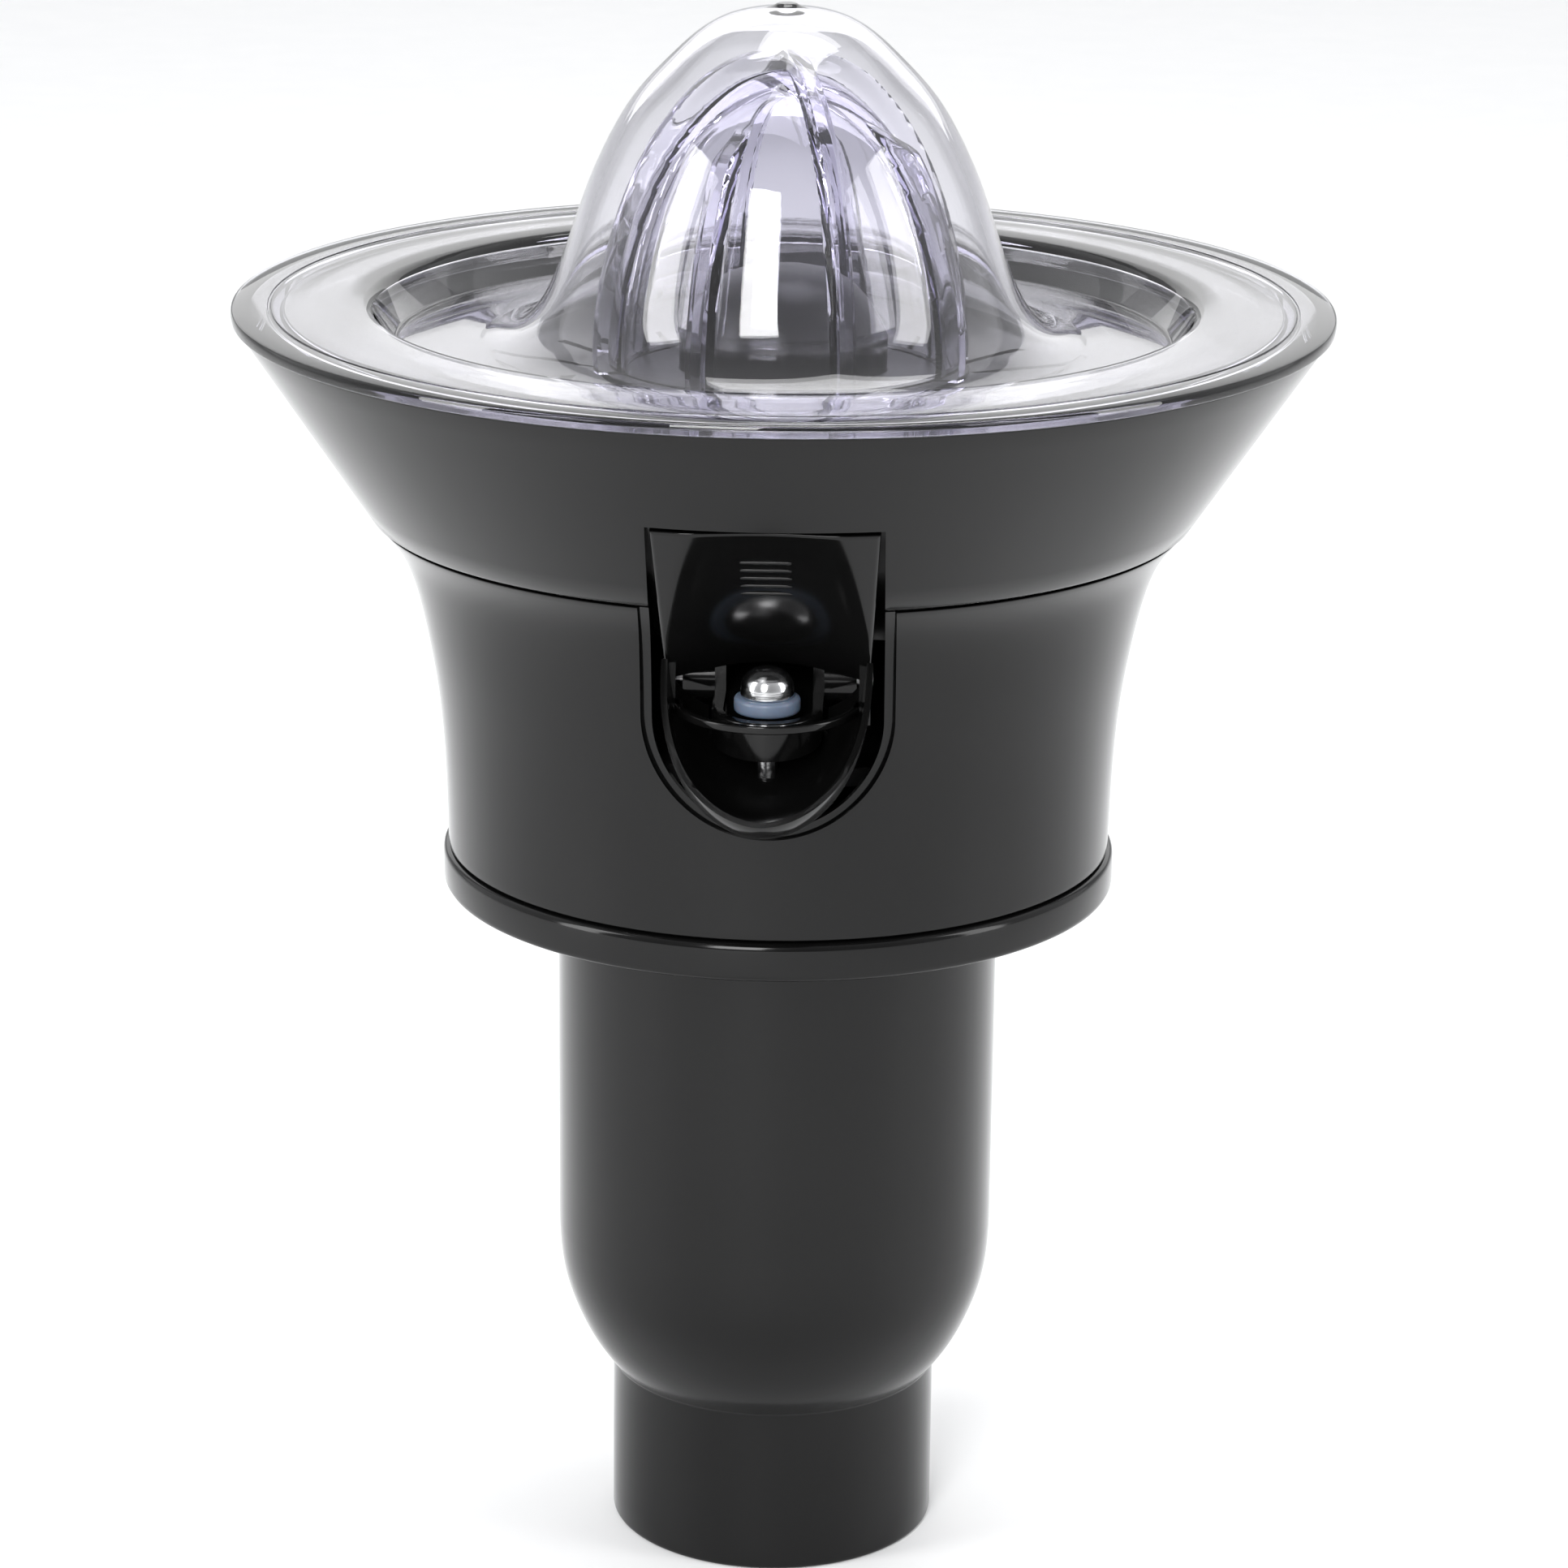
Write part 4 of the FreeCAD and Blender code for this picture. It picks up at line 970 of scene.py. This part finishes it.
parts = [lip]
for k in range(GRIP_LINES):
    z = GRIP_LOW + GRIP_STEP * k
    out = panel_front(0, z) + 0.05
    parts.append(bar("grip", 0.35, (-4, -out, z), (4, -out, z), 24))
collar = lathe("collar", [(13.8, COLLAR_LOW), (15, COLLAR_LOW), (15, COLLAR_HIGH), (13.8, COLLAR_HIGH)],
               radius=0.25, turns=144, y=-COLLAR_OUT)
front_half = prism("front_half", 20, [(COLLAR_OUT, 160), (90, 160), (90, 172), (COLLAR_OUT, 172)])
parts.append(overlap(collar, front_half))
for side in (-1, 1):
    parts.append(prism("tie", 1.3, [(COLLAR_OUT, COLLAR_LOW), (COLLAR_OUT + 3, COLLAR_LOW),
                                    (COLLAR_OUT + 3, COLLAR_HIGH), (COLLAR_OUT, COLLAR_HIGH)], middle=side * 14.7))
    cheek = prism("cheek", 0.9, CHEEK, middle=side * cheek_middle)
    parts.append(cut(cheek, bar("pivot_hole", 1.55, (-30, -PIVOT_OUT, PIVOT_Z), (30, -PIVOT_OUT, PIVOT_Z), 48)))
merge(lever, parts)
show(lever, black_gloss, "spout", "black_shell", "spout_lever")

# %% [markdown]
# ## Stopper
#
# A small polished cap holds a pale silicone ring, which closes the seat hole when the lever is
# tipped. Both are turned about the seat's own axis. The cap is a low dome over a neck, and the
# neck goes down through the ring.

# %% Stopper and ring
NECK_HALF, CAP_LOW, CAP_R = 2.4, 168.5, 4.3
cap_dome = through([(CAP_R, 169.3), (4.15, 170.7), (3.3, 172.1), (1.8, 173.0), (0.0, 173.3)], 0.3)
stopper = lathe("stopper_cap", [(0, 155), (1.8, 155), (1.8, SEAL_Z), (NECK_HALF, SEAL_Z), (NECK_HALF, CAP_LOW),
                                (CAP_R, CAP_LOW)] + cap_dome, radius=0.3, turns=96, y=-STOPPER_OUT)
show(stopper, polished, "spout", "polished_steel", "stopper")
seal = lathe("stopper_ring", [(NECK_HALF, SEAL_Z), (SEAL_R, SEAL_Z), (SEAL_R, SEAL_Z + SEAL_H),
                              (NECK_HALF, SEAL_Z + SEAL_H)], radius=0.7, turns=96, y=-STOPPER_OUT)
show(seal, silicone, "spout", "silicone", "stopper_seal")

# %% [markdown]
# ## The mechanism
#
# The gears, shafts, bushes and screws keep their CAD surfaces and only take a finish, because
# their shapes are right and they are hidden in the housing or seen only from below. The record
# names each node's material slot, which picks the finish.

# %% Finishes of the carried-over pieces
FINISH = {"steel": steel, "bronze": bronze, "gear_nylon": nylon, "seal_rubber": rubber, "black_satin": black_satin,
          "polished_steel": polished, "silicone": silicone, "black_shell": black_gloss, "clear_plastic": clear_lid}
slots_of = {s["node"]: s["material_slot"] for s in frame["record"]["subparts"]}
replaced = {"lid", "reamer_cone", "cone_hub", "strainer", "bowl", "housing", "base_ring", "stem_housing",
            "spout_lever", "stopper", "stopper_seal"}
for name, node in frame["nodes"].items():
    if name in replaced:
        continue
    node.data.materials.clear()
    node.data.materials.append(FINISH[slots_of[name]])
print("carried over:", len(frame["nodes"]) - len(replaced))

# %% [markdown]
# ## Floor
#
# A plain pale floor that curves up far behind, so that no horizon shows.

# %% Floor
NEAR_EDGE, BEND_START, BEND_R, HALF_WIDE, WALL_TOP = -3.0, 2.0, 1.5, 4.0, 4.0
profile = [(NEAR_EDGE, 0.0), (BEND_START, 0.0)]
profile += [(BEND_START + BEND_R * math.sin(a), BEND_R - BEND_R * math.cos(a))
            for a in np.linspace(0.05, math.pi / 2, 16)]
profile.append((BEND_START + BEND_R, WALL_TOP))
strips = len(profile)
floor_mesh = bpy.data.meshes.new("floor")
floor_mesh.from_pydata([(side, y, z) for side in (-HALF_WIDE, HALF_WIDE) for y, z in profile], [],
                       [[i, i + 1, strips + i + 1, strips + i] for i in range(strips - 1)])
floor_mesh.shade_smooth()
floor = bpy.data.objects.new("floor", floor_mesh)
bpy.context.scene.collection.objects.link(floor)
floor_mesh.materials.append(make_material("pale_floor", (0.86, 0.865, 0.87), (0.90, 0.90, 0.90),
                                          (skin, {"Gloss": 0.6, "Spread": 0.1, "Waves": 0.0}), bump=0.0))
print("floor strips:", strips - 1)
